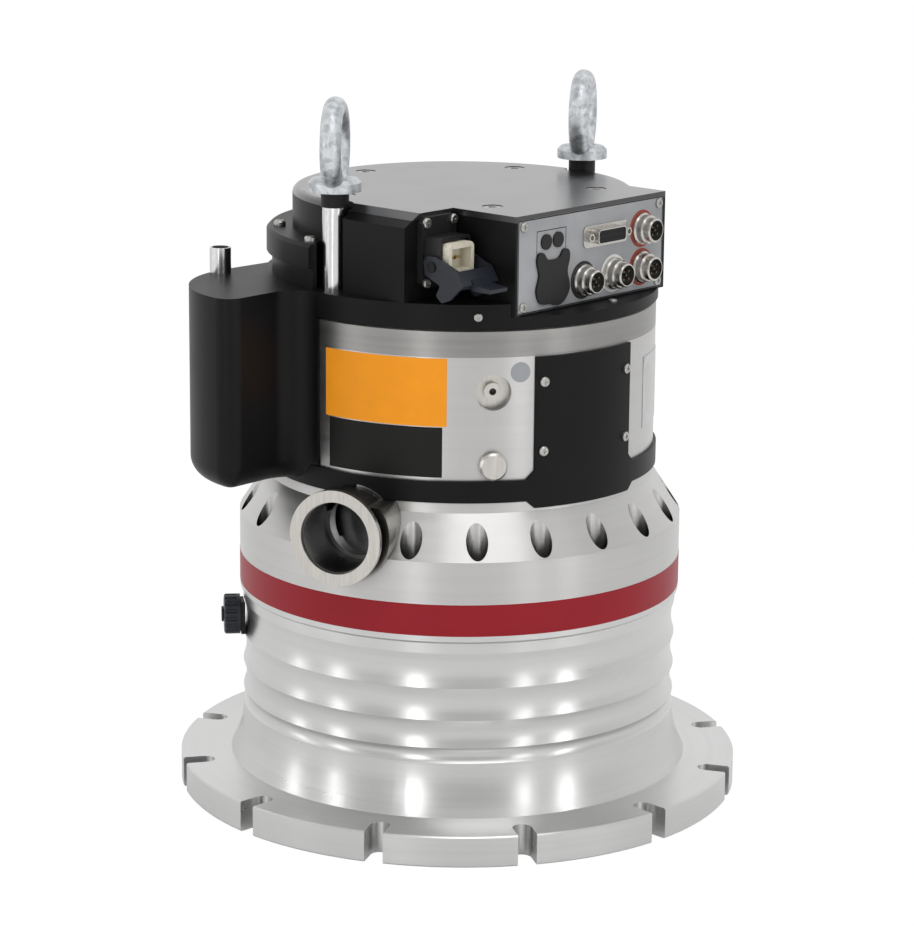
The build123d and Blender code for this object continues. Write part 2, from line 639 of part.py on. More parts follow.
def blades(low, tall, root, reach, count, angle, thick):
    """Inclined blades round the axis, from a root radius out to a reach."""
    lean = math.radians(abs(angle))
    run = tall / math.tan(lean)
    wide = thick / math.sin(lean)
    side = math.copysign((run + wide) / 2, angle)
    outline = [(-side, 0), (-side + math.copysign(wide, angle), 0), (side, tall),
               (side - math.copysign(wide, angle), tall)]
    plane = Plane((root, 0, low), x_dir=(0, 1, 0), z_dir=(1, 0, 0))
    blade = extrude(plane * make_face(Polyline(*outline, close=True)), reach - root)
    return around(blade, count)


def rotor_disc(stage):
    """Bladed wheel shrunk on the shaft, with a hub that reaches to the next wheel."""
    low, tall, hub, thick = ROTOR_STAGES[stage]
    tops = [wheel[0] for wheel in ROTOR_STAGES[1:]] + [HOLWECK_LOW]
    wheel = ring(hub, SHAFT_R + SEAT, low, low + tall)
    wheel += blades(low, tall, hub - BLADE_ROOT, TIP_R + SHELF, ROTOR_BLADES[stage],
                    ROTOR_ANGLES[stage], thick)
    wheel &= disc(TIP_R, low, low + tall)
    return wheel + ring(hub, SHAFT_R + SEAT, low, tops[stage])


def stator_disc(stage):
    """Bladed ring clamped at its rim, leaning against the rotor's blades."""
    low, tall, inner, thick = STATOR_STAGES[stage]
    set_low = low + BLADE_SETBACK
    set_tall = tall - 2 * BLADE_SETBACK
    vanes = blades(set_low, set_tall, inner - 2 * BLADE_ROOT, SPACER_BORE_R + BLADE_ROOT,
                   STATOR_BLADES[stage], -STATOR_ANGLES[stage], thick)
    wheel = ring(inner + STATOR_HOOP, inner, set_low, set_low + set_tall) + vanes
    wheel &= ring(SPACER_BORE_R + OVERRUN, inner, set_low, set_low + set_tall)
    return wheel + ring(BORE_R - SEAT, SPACER_BORE_R, low, low + tall)


def spacer_rings():
    """Rings that hold the stator discs apart, from the bearing star to the Holweck stator."""
    floors = [STACK_Z + STAR_THICK] + [low + tall for low, tall, *_ in STATOR_STAGES]
    roofs = [stage[0] for stage in STATOR_STAGES]
    return [ring(BORE_R - SEAT, SPACER_BORE_R, floor, roof) for floor, roof in zip(floors, roofs)]


def holweck_stator():
    """Sleeve with slanting grooves, clamped by its flange on top of the stator stack."""
    stack_top = STATOR_STAGES[-1][0] + STATOR_STAGES[-1][1]
    body = turned([(HOLWECK_IN_R, stack_top), (BORE_R - SEAT, stack_top), (BORE_R - SEAT, HOLWECK_SEAT),
                   (HOLWECK_BORE_R - SEAT, HOLWECK_SEAT), (HOLWECK_BORE_R - SEAT, SLEEVE_HIGH),
                   (HOLWECK_IN_R, SLEEVE_HIGH)])
    groove = Pos(HOLWECK_IN_R, 0, (stack_top + WEB_LOW) / 2) * Rot(HOLWECK_LEAN, 0, 0) * Box(
        GROOVE_WIDE, GROOVE_WIDE, 2 * (WEB_LOW - stack_top))
    groove &= disc(HOLWECK_IN_R + GROOVE_DEEP, stack_top - OVERRUN, WEB_LOW)
    return body - around(groove, HOLWECK_GROOVES)


def holweck_rotor():
    """Carrier disc and drum of the drag stage."""
    outer = HOLWECK_IN_R - HOLWECK_GAP
    return turned([(SHAFT_R + SEAT, HOLWECK_LOW), (outer, HOLWECK_LOW), (outer, HOLWECK_HIGH),
                   (outer - HOLWECK_WALL, HOLWECK_HIGH), (outer - HOLWECK_WALL, HOLWECK_LOW + HOLWECK_DISC),
                   (SHAFT_R + COLLAR, HOLWECK_LOW + HOLWECK_DISC), (SHAFT_R + COLLAR, HUB_TOP),
                   (SHAFT_R + SEAT, HUB_TOP)])


# --- bearings, shaft and motor --------------------------------------------------------------------------

def bearing_star():
    """Spider in the inlet that carries the pin of the magnetic bearing."""
    top = STACK_Z + STAR_THICK
    body = ring(BORE_R - SEAT, THROAT_R, STACK_Z, top)
    half = STAR_ARM_WIDE / 2
    arm = span(STAR_HUB_R - STAR_HUB_BREAK, THROAT_R + OVERRUN, -half, half, STACK_Z, top)
    body += around(arm, STAR_ARMS, STAR_START)
    hub = disc(STAR_HUB_R, STACK_Z - STAR_HUB_DROP, top)
    hub = chamfer(hub.edges().group_by(Axis.Z)[0], STAR_HUB_BREAK)
    return body + hub + disc(PIN_R, STACK_Z, PIN_TOP)


def rotor_shaft():
    """Shaft, hollow at the inlet end for the magnetic bearing."""
    hollow = MAGNET_STATOR_R + MAGNET_GAP + MAGNET_RING_WALL + SEAT
    shoulder = JOURNAL_R + RACE_WALL - BEARING_GAP
    neck = MOTOR_HIGH + HOLDER_LIP
    return turned([(hollow, SHAFT_LOW), (SHAFT_R, SHAFT_LOW), (SHAFT_R, neck), (shoulder, neck),
                   (shoulder, BEARING_LOW), (JOURNAL_R, BEARING_LOW),
                   (JOURNAL_R, BEARING_LOW + BEARING_WIDE + BEARING_GAP), (JOURNAL_R - NOSE, SHAFT_TOP),
                   (0, SHAFT_TOP), (0, HOLLOW_TOP), (hollow, HOLLOW_TOP)])


def bearing_parts():
    """Inner ring, outer ring and balls of the ball bearing."""
    high = BEARING_LOW + BEARING_WIDE
    inner_high = JOURNAL_R + RACE_WALL
    outer_low = BEARING_R - RACE_WALL
    middle = (inner_high + outer_low) / 2
    ball_r = (outer_low - inner_high) / 2 - GAP
    balls = [Rot(0, 0, k * 360 / BALLS) * Pos(middle, 0, (BEARING_LOW + high) / 2) * Sphere(ball_r)
             for k in range(BALLS)]
    inner = ring(inner_high, JOURNAL_R + SEAT, BEARING_LOW, high)
    outer = ring(BEARING_R - SEAT, outer_low, BEARING_LOW, high)
    return inner, outer, balls


def bearing_holder():
    """Elastic holder between the ball bearing and the base housing."""
    low = BEARING_LOW - HOLDER_LIP
    inner = BEARING_R - HOLDER_LIP
    return turned([(inner, low), (HOLDER_R, low), (HOLDER_R, BASE_TOP), (BEARING_R, BASE_TOP),
                   (BEARING_R, BEARING_LOW), (inner, BEARING_LOW)])


def motor_windings():
    """Winding heads at both ends of the motor's core."""
    outer = MOTOR_BORE_R - WINDING_INSET
    inner = MOTOR_STATOR_BORE_R + WINDING_CLEAR
    return [ring(outer, inner, MOTOR_LOW - WINDING_TALL, MOTOR_LOW),
            ring(outer, inner, MOTOR_HIGH, MOTOR_HIGH + WINDING_TALL)]


# --- drive unit -----------------------------------------------------------------------------------------

def post_places():
    """Plan positions of the two lifting posts."""
    return [polar(POST_PCR, POST_AZIMUTH), polar(POST_PCR, POST_AZIMUTH + 180)]


def scallops(radius, low, high):
    """Cylinders round both lifting posts."""
    return [Pos(x, y, low) * Cylinder(radius, high - low, align=UP) for x, y in post_places()]


def drive_base_ring():
    """Ring under the drive unit, cut down to a ledge under the connector panel."""
    body = ring(DRIVE_R, DRIVE_R - DRIVE_RING_WIDE, RING_TOP, DRIVE_RING_TOP)
    body -= span(BLOCK_LEFT - GAP, BLOCK_RIGHT + GAP, -2 * DRIVE_R, LEDGE_BACK, LEDGE_Z, HOUSING_TOP)
    return body - scallops(POST_R + SEAT, POST_LOW, HOUSING_TOP)


def drive_form():
    """Outer form of the drive unit: a round body, the panel block and the stepped corner."""
    above = HOUSING_TOP + OVERRUN
    body = disc(HOUSING_R, DRIVE_RING_TOP, HOUSING_TOP)
    body = fillet(body.edges().group_by(Axis.Z)[-1], HOUSING_ROUND)
    body -= span(2 * STEP_X, BLOCK_LEFT, -2 * DRIVE_R, STEP_Y, RING_TOP, above)
    body -= span(BLOCK_LEFT, BLOCK_RIGHT, -2 * DRIVE_R, PANEL_Y, RING_TOP, above)
    body += span(BLOCK_LEFT, BLOCK_RIGHT, PANEL_Y, 0, DRIVE_RING_TOP, HOUSING_TOP)
    body += span(BLOCK_LEFT, BLOCK_RIGHT, PANEL_Y, LEDGE_BACK - GAP, LEDGE_Z, DRIVE_RING_TOP)
    body += span(STEP_X, BLOCK_LEFT, STEP_Y, STEP_BACK_Y, DRIVE_RING_TOP, HOUSING_TOP)
    slope = FACET_TALL / FACET_WIDE
    low = HOUSING_TOP - FACET_TALL - OVERRUN * slope
    wedge = [(STEP_X - OVERRUN, low), (STEP_X - OVERRUN, above),
             (STEP_X + FACET_WIDE + OVERRUN / slope, above)]
    facet = extrude(Plane.XZ * make_face(Polyline(*wedge, close=True)), OVERRUN - STEP_Y)
    body -= facet
    body -= Pos(0, -STEP_BACK_Y + FACET_WIDE, 0) * facet
    return body - scallops(SCALLOP_R, RING_TOP, above)


def between(body, low, high):
    """The part of a body between two heights."""
    return body & span(-2 * DRIVE_R, 2 * DRIVE_R, -2 * DRIVE_R, 2 * DRIVE_R, low, high)


def plate_recess():
    """Recess for the connector plate."""
    return Pos(PLATE_X, PANEL_Y, PLATE_Z) * Box(
        PLATE_WIDE + 2 * PLATE_PLAY, 2 * PLATE_THICK, PLATE_TALL + 2 * PLATE_PLAY)


def lid_screw_places():
    """Plan positions of the lid's screws."""
    return [polar(LID_SCREW_PCR, LID_SCREW_START + k * 360 / LID_SCREWS) for k in range(LID_SCREWS)]


def drive_housing():
    """Cast housing of the electronics, open upward under its lid."""
    lid_low = HOUSING_TOP - LID_THICK
    body = between(drive_form(), LEDGE_Z - OVERRUN, lid_low)
    floor = DRIVE_RING_TOP + HOUSING_WALL
    cavity = disc(HOUSING_R - HOUSING_WALL - SCALLOP_R, floor, HOUSING_TOP)
    cavity -= span(STEP_X, BLOCK_LEFT + HOUSING_WALL, -DRIVE_R, STEP_Y + HOUSING_WALL, RING_TOP, HOUSING_TOP)
    cavity += span(BLOCK_LEFT + HOUSING_WALL, BLOCK_RIGHT - HOUSING_WALL, PANEL_Y + 2 * HOUSING_WALL, 0,
                   floor, HOUSING_TOP)
    for x, y in lid_screw_places():
        cavity -= Pos(x, y, RING_TOP) * Cylinder(LID_BOSS_R, HOUSING_TOP - RING_TOP, align=UP)
    body -= cavity
    for x, y in lid_screw_places():
        body -= Pos(x, y, lid_low) * Cylinder(LID_SHANK_R + SEAT, 2 * LID_SCREW_LONG)
    return body - plate_recess()


def drive_lid():
    """Flat lid with recesses for its screws."""
    body = between(drive_form(), HOUSING_TOP - LID_THICK, HOUSING_TOP + OVERRUN) - plate_recess()
    for x, y in lid_screw_places():
        body -= Pos(x, y, HOUSING_TOP) * Cylinder(LID_SCREW_R + GAP, 2 * LID_SINK)
        body -= Pos(x, y, HOUSING_TOP) * Cylinder(LID_SHANK_R + GAP, 3 * LID_THICK)
    return body


def lid_screws():
    """Flat screws in the lid and on the rear cover."""
    head = screw(LID_SCREW_R, LID_SCREW_HEAD, LID_SHANK_R, LID_SCREW_LONG)
    heads = [Pos(x, y, HOUSING_TOP - LID_SINK) * head for x, y in lid_screw_places()]
    for azimuth in REAR_SCREWS_AT:
        x, y = polar(HOUSING_R + REAR_SCREW_OUT, azimuth)
        heads.append(pan_screw(Plane((x, y, REAR_TOP_Z)), REAR_SCREW_R, REAR_SCREW_TALL))
    return heads


def rear_cover():
    """Stepped cover that wraps the back of the drive unit between the lifting posts."""
    inner = HOUSING_R + SEAT
    lower = HOUSING_R + REAR_LOWER
    upper = HOUSING_R + REAR_UPPER
    floor, step, top = DRIVE_RING_TOP, REAR_STEP_Z, REAR_TOP_Z
    body = turned([(inner, floor), (lower, floor), (lower, step), (upper, step), (upper, top - REAR_EDGE),
                   (upper - REAR_EDGE, top), (inner, top)])
    wide = 2 * DRIVE_R
    body &= Rot(0, 0, REAR_FROM) * span(-wide, wide, 0, wide, floor, top)
    body &= Rot(0, 0, REAR_TO) * span(-wide, wide, -wide, 0, floor, top)
    return body - scallops(SCALLOP_R, RING_TOP, HOUSING_TOP)


def lifting_posts():
    """Posts that carry the eye bolts."""
    tall = POST_TOP - POST_LOW
    post = Cylinder(POST_R, tall, align=UP)
    post -= Pos(0, 0, tall - EYE_GRIP) * Cylinder(EYE_THREAD_R + SEAT, 2 * EYE_GRIP, align=UP)
    return [Pos(x, y, POST_LOW) * post for x, y in post_places()]


def post_sleeves():
    """Black sleeves between the posts and the eye bolts."""
    sleeve = Cylinder(SLEEVE_R, SLEEVE_TALL, align=UP) - Cylinder(EYE_THREAD_R + SEAT, 3 * SLEEVE_TALL)
    return [Pos(x, y, POST_TOP) * sleeve for x, y in post_places()]


def eye_bolts():
    """Lifting eye bolts after DIN 580, size M12."""
    collar = Cylinder(EYE_COLLAR_R, EYE_COLLAR, align=UP)
    collar = chamfer(collar.edges().group_by(Axis.Z)[-1], EYE_COLLAR_BREAK)
    eye = Pos(0, 0, EYE_CENTRE) * Rot(90, 0, 0) * Torus(EYE_RING_R, EYE_SECTION_R)
    eye &= span(-2 * EYE_CENTRE, 2 * EYE_CENTRE, -EYE_CENTRE, EYE_CENTRE, 0, 3 * EYE_CENTRE)
    thread = Pos(0, 0, OVERRUN - SLEEVE_TALL - EYE_GRIP) * Cylinder(
        EYE_THREAD_R, SLEEVE_TALL + EYE_GRIP, align=UP)
    bolt = collar + eye + thread
    return [Pos(x, y, SLEEVE_TOP) * Rot(0, 0, turn) * bolt
            for (x, y), turn in zip(post_places(), EYE_TURNS)]


# --- connector panel ------------------------------------------------------------------------------------

def on_panel(x, z, proud=0.0):
    """Plane on the front of the connector plate, at a place from its centre."""
    return facing_front(PLATE_X + x, PANEL_Y - proud, PLATE_Z + z)


def connector_panel():
    """Flat plate in the recess of the panel block."""
    return Pos(PLATE_X, PANEL_Y + PLATE_THICK / 2, PLATE_Z) * Box(PLATE_WIDE, PLATE_THICK, PLATE_TALL)


def panel_screws():
    """Cross-recessed screws in the plate's corners."""
    out_x = PLATE_WIDE / 2 - PLATE_SCREW_INSET[0]
    out_z = PLATE_TALL / 2 - PLATE_SCREW_INSET[1]
    places = [(i * out_x, k * out_z) for i in (-1, 1) for k in (-1, 1)]
    return [pan_screw(on_panel(x, z), *PLATE_SCREW) for x, z in places]


def panel_covers():
    """Waisted blank over the service port, and the two round indicator windows."""
    half, waist = BLANK_HALF, BLANK_WAIST
    right = [(0, 0), (half * 0.72, 1.6), (half, 9), (waist, 18), (half * 0.97, 24.5), (half * 0.88, 30),
             (half * 0.6, 30.2), (half * 0.4, 26.8), (0, 25.6)]
    left = [(-x, z) for x, z in reversed(right[1:-1])]
    face = make_face(Spline(*right, *left, periodic=True))
    blank = on_panel(*BLANK_AT) * extrude(face, BLANK_THICK)
    windows = [on_panel(x, z) * Cylinder(DISC_R, DISC_THICK, align=UP) for x, z in DISCS_AT]
    return [blank, *windows]


def dsub_socket():
    """Metal shell of the fifteen-way socket with its two jack screws."""
    wide, tall, long = DSUB_SHELL
    outline = fillet(Rectangle(wide, tall).vertices(), DSUB_SHELL_CORNER)
    shell = extrude(outline, long) - extrude(offset(outline, -DSUB_WALL), long + OVERRUN)
    body = fillet(Box(*DSUB_FLANGE, align=UP).edges().filter_by(Axis.Z), DSUB_FLANGE_CORNER) + shell
    jack_r, jack_tall = DSUB_JACK
    jack = extrude(RegularPolygon(jack_r, 6), jack_tall)
    jack -= Pos(0, 0, DSUB_JACK_FLOOR) * Cylinder(DSUB_JACK_BORE_R, jack_tall, align=UP)
    body += [Pos(side * DSUB_JACK_X, 0, 0) * jack for side in (-1, 1)]
    return on_panel(*DSUB_AT) * body


def dsub_insert():
    """Insulator inside the shell."""
    wide, tall, long = DSUB_SHELL
    thin = 2 * (DSUB_WALL + DSUB_PLAY)
    outline = fillet(Rectangle(wide - thin, tall - thin).vertices(), DSUB_INSERT_CORNER)
    return on_panel(*DSUB_AT, DSUB_FLANGE[2]) * extrude(outline, long - DSUB_FLANGE[2] - DSUB_INSERT_SINK)


def socket_nuts():
    """Stepped bases of the round sockets."""
    nut = Cylinder(SOCKET_NUT_R, SOCKET_NUT_TALL, align=UP)
    nut = chamfer(nut.edges().group_by(Axis.Z)[-1], SOCKET_NUT_BREAK)
    neck = Cylinder(SOCKET_NECK_R, SOCKET_NECK_TALL, align=UP)
    nut += chamfer(neck.edges().group_by(Axis.Z)[-1], SOCKET_NUT_BREAK)
    nut -= Cylinder(SOCKET_R + SEAT, 3 * SOCKET_NECK_TALL)
    return [on_panel(x, z) * nut for x, z in SOCKETS_AT]


def round_sockets():
    """Barrels of the round sockets."""
    barrel = chamfer(Cylinder(SOCKET_R, SOCKET_LONG, align=UP).edges().group_by(Axis.Z)[-1], SOCKET_BREAK)
    barrel -= Pos(0, 0, SOCKET_FLOOR) * Cylinder(SOCKET_R - SOCKET_WALL, SOCKET_LONG, align=UP)
    return [on_panel(x, z) * barrel for x, z in SOCKETS_AT]


def socket_inserts():
    """Insulators inside the round sockets."""
    long = SOCKET_LONG - SOCKET_FLOOR - SOCKET_DEEP
    insert = Pos(0, 0, SOCKET_FLOOR) * Cylinder(SOCKET_R - SOCKET_WALL - SEAT, long, align=UP)
    return [on_panel(x, z) * insert for x, z in SOCKETS_AT]


# --- mains socket ---------------------------------------------------------------------------------------

def on_step(proud=0.0, drop=0.0):
    """Plane on the stepped corner's front wall, at the mains socket."""
    return facing_front(MAINS_X, STEP_Y - proud, MAINS_Z - drop)


def mains_housing():
    """Flanged hood of the mains socket."""
    wide, tall, thick = MAINS_FLANGE
    flange = chamfer(Box(wide, tall, thick, align=UP).edges().filter_by(Axis.Z), MAINS_FLANGE_CORNER)
    hood = Box(HOOD_WIDE, HOOD_TALL, thick + HOOD_LONG, align=UP)
    hood = fillet(hood.edges().filter_by(Axis.Z), HOOD_CORNER)
    inner = Box(HOOD_WIDE - 2 * HOOD_WALL, HOOD_TALL - 2 * HOOD_WALL, 2 * HOOD_LONG, align=UP)
    inner = Pos(0, 0, thick) * inner
    return on_step() * (flange + Pos(0, -HOOD_DROP, 0) * (hood - inner) - Pos(0, -HOOD_DROP, 0) * inner)


def mains_insert():
    """Pale insulator with an open mouth."""
    long = HOOD_LONG + INSERT_PROUD
    body = Box(INSERT_WIDE, INSERT_TALL, long, align=UP)
    sides = body.edges().filter_by(Axis.Z)
    body = fillet(sides.sort_by(Axis.Y)[2:], INSERT_CORNER)
    mouth = Pos(0, MOUTH_SHIFT, long - MOUTH_DEEP) * Box(*MOUTH, 2 * MOUTH_DEEP, align=UP)
    return on_step(MAINS_FLANGE[2], HOOD_DROP) * (body - mouth)


def mains_contacts():
    """Contact pins in the insulator's mouth."""
    floor = MAINS_FLANGE[2] + HOOD_LONG + INSERT_PROUD - MOUTH_DEEP
    xs = [(k - (CONTACTS - 1) / 2) * 4 * CONTACT_R for k in range(CONTACTS)]
    pin = Cylinder(CONTACT_R, CONTACT_TALL, align=UP)
    return [on_step(floor, HOOD_DROP) * Pos(x, MOUTH_SHIFT, 0) * pin for x in xs]


def mains_screws():
    """Four screws of the hood's flange."""
    wide, tall = MAINS_HOLES
    front = STEP_Y - MAINS_FLANGE[2]
    return [pan_screw(facing_front(MAINS_X + i * wide / 2, front, MAINS_Z + k * tall / 2), *MAINS_SCREW)
            for i in (-1, 1) for k in (-1, 1)]


def lever_pins():
    """Pins on the hood's sides that the locking lever turns on."""
    pins = []
    long = LEVER_GAP + LEVER_PLATE + GAP
    for side in (-1, 1):
        plane = Plane((MAINS_X + side * HOOD_WIDE / 2, LEVER_PIVOT_Y, LEVER_PIVOT_Z),
                      x_dir=(0, 1, 0), z_dir=(side, 0, 0))
        shank = Cylinder(LEVER_PIN_R, long, align=UP)
        pins.append(plane * (shank + Pos(0, 0, long) * Cylinder(*LEVER_PIN_HEAD, align=UP)))
    return pins


def locking_lever():
    """U-shaped lever: two lobed arms, a crossbar in front of the hood and a finger tongue."""
    half = HOOD_WIDE / 2 + LEVER_GAP + LEVER_PLATE
    body = lever_slab(LEVER_ARM, -half, LEVER_PLATE, LEVER_CORNER)
    body += lever_slab(LEVER_ARM, half - LEVER_PLATE, LEVER_PLATE, LEVER_CORNER)
    body -= lever_slab(None, -half - OVERRUN, 2 * (half + OVERRUN))
    body += lever_slab(LEVER_BAR, -half, 2 * half)
    return body + lever_slab(LEVER_TONGUE, -TONGUE_WIDE / 2, TONGUE_WIDE)


def lever_slab(outline, start, wide, corner=0.0):
    """Slab of the lever from an outline seen from its side, or the bore for its pins."""
    plane = Plane((MAINS_X + start, LEVER_PIVOT_Y, LEVER_PIVOT_Z), x_dir=(0, -1, 0), z_dir=(-1, 0, 0))
    face = Circle(LEVER_PIN_R + RUNNING) if outline is None else make_face(Polyline(*outline, close=True))
    if corner:
        face = fillet(face.vertices(), corner)
    return plane * extrude(face, -wide)


# --- venting valve --------------------------------------------------------------------------------------

def vent_body():
    """Block of the venting valve on the housing's neck."""
    block = fillet(Box(*VENT_BLOCK, align=UP).edges().filter_by(Axis.Z), VENT_BLOCK_CORNER)
    block = outward(VENT_AZIMUTH, VENT_SEAT_R, VENT_Z, VENT_ASIDE) * block
    block -= disc(NECK_R + SEAT, 0, JOINT_Z)
    return block - vent_axis() * Cylinder(VENT_STEM_R + RUNNING, 6 * VENT_BLOCK[2])


def vent_axis(shift=0.0):
    """Plane across the venting screw, at the outer face of the valve block."""
    return outward(VENT_AZIMUTH, VENT_SEAT_R + VENT_BLOCK[2] + shift, VENT_Z)


def vent_knob():
    """Fluted knob of the venting screw."""
    knob = Cylinder(KNOB_R, KNOB_TALL, align=UP)
    knob = fillet(knob.edges().group_by(Axis.Z)[-1], KNOB_ROUND)
    flute = Pos(KNOB_R + FLUTE_OUT, 0, FLUTE_LOW) * Cylinder(FLUTE_R, KNOB_TALL, align=UP)
    knob -= [Rot(0, 0, k * 360 / KNOB_FLUTES) * flute for k in range(KNOB_FLUTES)]
    knob -= Cylinder(VENT_STEM_R + RUNNING, 3 * KNOB_TALL)
    return vent_axis(GAP) * knob


def vent_plunger():
    """Threaded stem that the knob drives in and out."""
    long = VENT_STEM_SINK + 2 * GAP + KNOB_TALL
    stem = Pos(0, 0, -VENT_STEM_SINK) * Cylinder(VENT_STEM_R, long, align=UP)
    return vent_axis() * (stem + Pos(0, 0, long - VENT_STEM_SINK) * Cylinder(*VENT_CAP, align=UP))


def save(name, shapes):
    """Write one node: a single solid or a group of separate solids."""
    shapes = shapes if isinstance(shapes, list) else [shapes]
    solids = [solid for shape in shapes for solid in shape.solids()]
    whole = solids[0] if len(solids) == 1 else Compound(children=solids)
    export_step(whole, f"parts/{name}.step")


def main():
    """Build and write every node."""
    os.makedirs("parts", exist_ok=True)
    inner_race, outer_race, balls = bearing_parts()
    magnet_low = SHAFT_LOW + BEARING_GAP
    safety_low = magnet_low + MAGNET_TALL + BEARING_GAP
    save("inlet_housing", inlet_housing())
    save("base_housing", base_housing())
    save("base_cover", base_cover())
    save("foreline_port", foreline_port())
    save("housing_screws", pocketed(Pos(POCKET_PCR, 0, POCKET_FLOOR) * screw(
        SCREW_HEAD_R, SCREW_HEAD_TALL, SCREW_R, SCREW_LONG)))
    save("side_cover", side_cover())
    save("cover_screws", cover_screws())
    save("purge_fitting", purge_fitting())
    save("blanking_plug", blanking_plug())
    save("cooling_box", cooling_box())
    save("cooling_nipple", cooling_nipple())
    for stage in range(len(ROTOR_STAGES)):
        save(f"rotor_disc_{stage + 1}", rotor_disc(stage))
        save(f"stator_disc_{stage + 1}", stator_disc(stage))
    save("spacer_rings", spacer_rings())
    save("holweck_stator", holweck_stator())
    save("holweck_rotor", holweck_rotor())
    save("bearing_star", bearing_star())
    save("magnet_stator", ring(MAGNET_STATOR_R, PIN_R + SEAT, magnet_low, magnet_low + MAGNET_TALL))
    save("magnet_rotor", ring(MAGNET_STATOR_R + MAGNET_GAP + MAGNET_RING_WALL,
                              MAGNET_STATOR_R + MAGNET_GAP, magnet_low, magnet_low + MAGNET_TALL))
    save("safety_bearing", ring(MAGNET_STATOR_R + MAGNET_RING_WALL, PIN_R + SEAT,
                                safety_low, safety_low + SAFETY_TALL))
    save("rotor_shaft", rotor_shaft())
    save("motor_magnet", ring(ROTOR_MAGNET_R, SHAFT_R + SEAT, MOTOR_LOW, MOTOR_HIGH))
    save("motor_stator", ring(MOTOR_BORE_R - SEAT, MOTOR_STATOR_BORE_R, MOTOR_LOW, MOTOR_HIGH))
    save("motor_windings", motor_windings())
    save("bearing_inner_ring", inner_race)
    save("bearing_outer_ring", outer_race)
    save("bearing_balls", balls)
    save("bearing_holder", bearing_holder())
    save("oil_cartridge", ring(CARTRIDGE_R, CARTRIDGE_BORE_R, BASE_TOP, BASE_TOP + CARTRIDGE_TALL))
    save("drive_base_ring", drive_base_ring())
    save("drive_housing", drive_housing())
    save("drive_lid", drive_lid())
    save("lid_screws", lid_screws())
    save("rear_cover", rear_cover())
    save("lifting_posts", lifting_posts())
    save("post_sleeves", post_sleeves())
    save("eye_bolts", eye_bolts())
    save("connector_panel", connector_panel())
    save("panel_screws", panel_screws())
    save("panel_covers", panel_covers())
    save("dsub_socket", dsub_socket())
    save("dsub_insert", dsub_insert())
    save("socket_nuts", socket_nuts())
    save("round_sockets", round_sockets())
    save("socket_inserts", socket_inserts())
    save("mains_housing", mains_housing())
    save("mains_insert", mains_insert())
    save("mains_contacts", mains_contacts())
    save("mains_screws", mains_screws())
    save("lever_pins", lever_pins())
    save("locking_lever", locking_lever())
    save("vent_body", vent_body())
    save("vent_knob", vent_knob())
    save("vent_plunger", vent_plunger())


main()
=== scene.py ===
"""Studio scene of the turbomolecular pump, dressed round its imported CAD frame. Metres throughout."""

import json
import math

import bmesh
import bpy
from mathutils import Matrix, Vector


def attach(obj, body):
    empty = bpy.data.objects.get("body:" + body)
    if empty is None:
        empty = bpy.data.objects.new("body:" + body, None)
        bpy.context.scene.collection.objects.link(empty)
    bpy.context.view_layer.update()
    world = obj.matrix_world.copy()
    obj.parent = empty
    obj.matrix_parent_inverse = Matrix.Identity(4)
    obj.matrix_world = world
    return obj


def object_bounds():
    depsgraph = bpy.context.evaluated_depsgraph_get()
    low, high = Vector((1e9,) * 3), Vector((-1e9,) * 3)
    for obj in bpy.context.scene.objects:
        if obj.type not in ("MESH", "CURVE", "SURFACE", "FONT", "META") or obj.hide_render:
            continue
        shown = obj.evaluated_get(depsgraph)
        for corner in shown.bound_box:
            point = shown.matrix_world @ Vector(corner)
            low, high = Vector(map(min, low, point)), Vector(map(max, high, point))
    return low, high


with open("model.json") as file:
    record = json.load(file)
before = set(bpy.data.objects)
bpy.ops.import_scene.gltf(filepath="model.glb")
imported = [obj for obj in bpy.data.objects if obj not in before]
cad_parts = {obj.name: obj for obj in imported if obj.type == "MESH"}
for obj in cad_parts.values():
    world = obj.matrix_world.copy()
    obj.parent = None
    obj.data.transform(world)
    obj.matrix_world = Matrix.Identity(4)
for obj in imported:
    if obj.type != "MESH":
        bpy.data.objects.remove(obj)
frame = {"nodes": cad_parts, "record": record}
cad_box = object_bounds()
nodes = frame["nodes"]
MM = 0.001

# --- studio levels -------------------------------------------------------------------------------------
AMBIENT_FRONT = 0.55    # surroundings on the camera's side
AMBIENT_BACK = 1.0      # surroundings behind the pump
FLOOR_REACH = 6.0
FLOOR_GLOW = 0.94       # share of plain white in what the camera sees of the floor
TOP_POWER = 14.0
STRIP_TALL = 2.2
LAMP_AWAY = 2.6
STRIPS = (("strip_far_left", 132.9, 0.12, 4.0), ("strip_near_left", 158.3, 0.12, 5.0),
          ("strip_left", -159.6, 0.14, 9.0), ("strip_mid", -104.6, 0.10, 5.0),
          ("strip_right", -82.0, 0.14, 7.0))

# --- camera ------------------------------------------------------------------------------------------
CAMERA_AT = Vector((-1.4010, -1.2438, 0.6497))
CAMERA_LENS = 125.65
HEADING = math.radians(41.6558)
PITCH = math.radians(13.705)
ROLL = math.radians(0.5418)


def make_camera():
    """Camera at the photograph's viewing angle."""
    data = bpy.data.cameras.new("camera")
    data.lens = CAMERA_LENS
    data.sensor_width = 36.0
    camera = bpy.data.objects.new("camera", data)
    bpy.context.scene.collection.objects.link(camera)
    ahead = Vector((math.cos(HEADING) * math.cos(PITCH), math.sin(HEADING) * math.cos(PITCH),
                    -math.sin(PITCH)))
    right = Vector((math.sin(HEADING), -math.cos(HEADING), 0.0))
    up = right.cross(ahead)
    right, up = (right * math.cos(ROLL) + up * math.sin(ROLL),
                 up * math.cos(ROLL) - right * math.sin(ROLL))
    turn = Matrix((right, up, -ahead)).transposed()
    camera.matrix_world = Matrix.Translation(CAMERA_AT) @ turn.to_4x4()
    data.clip_end = 50.0
    bpy.context.scene.camera = camera


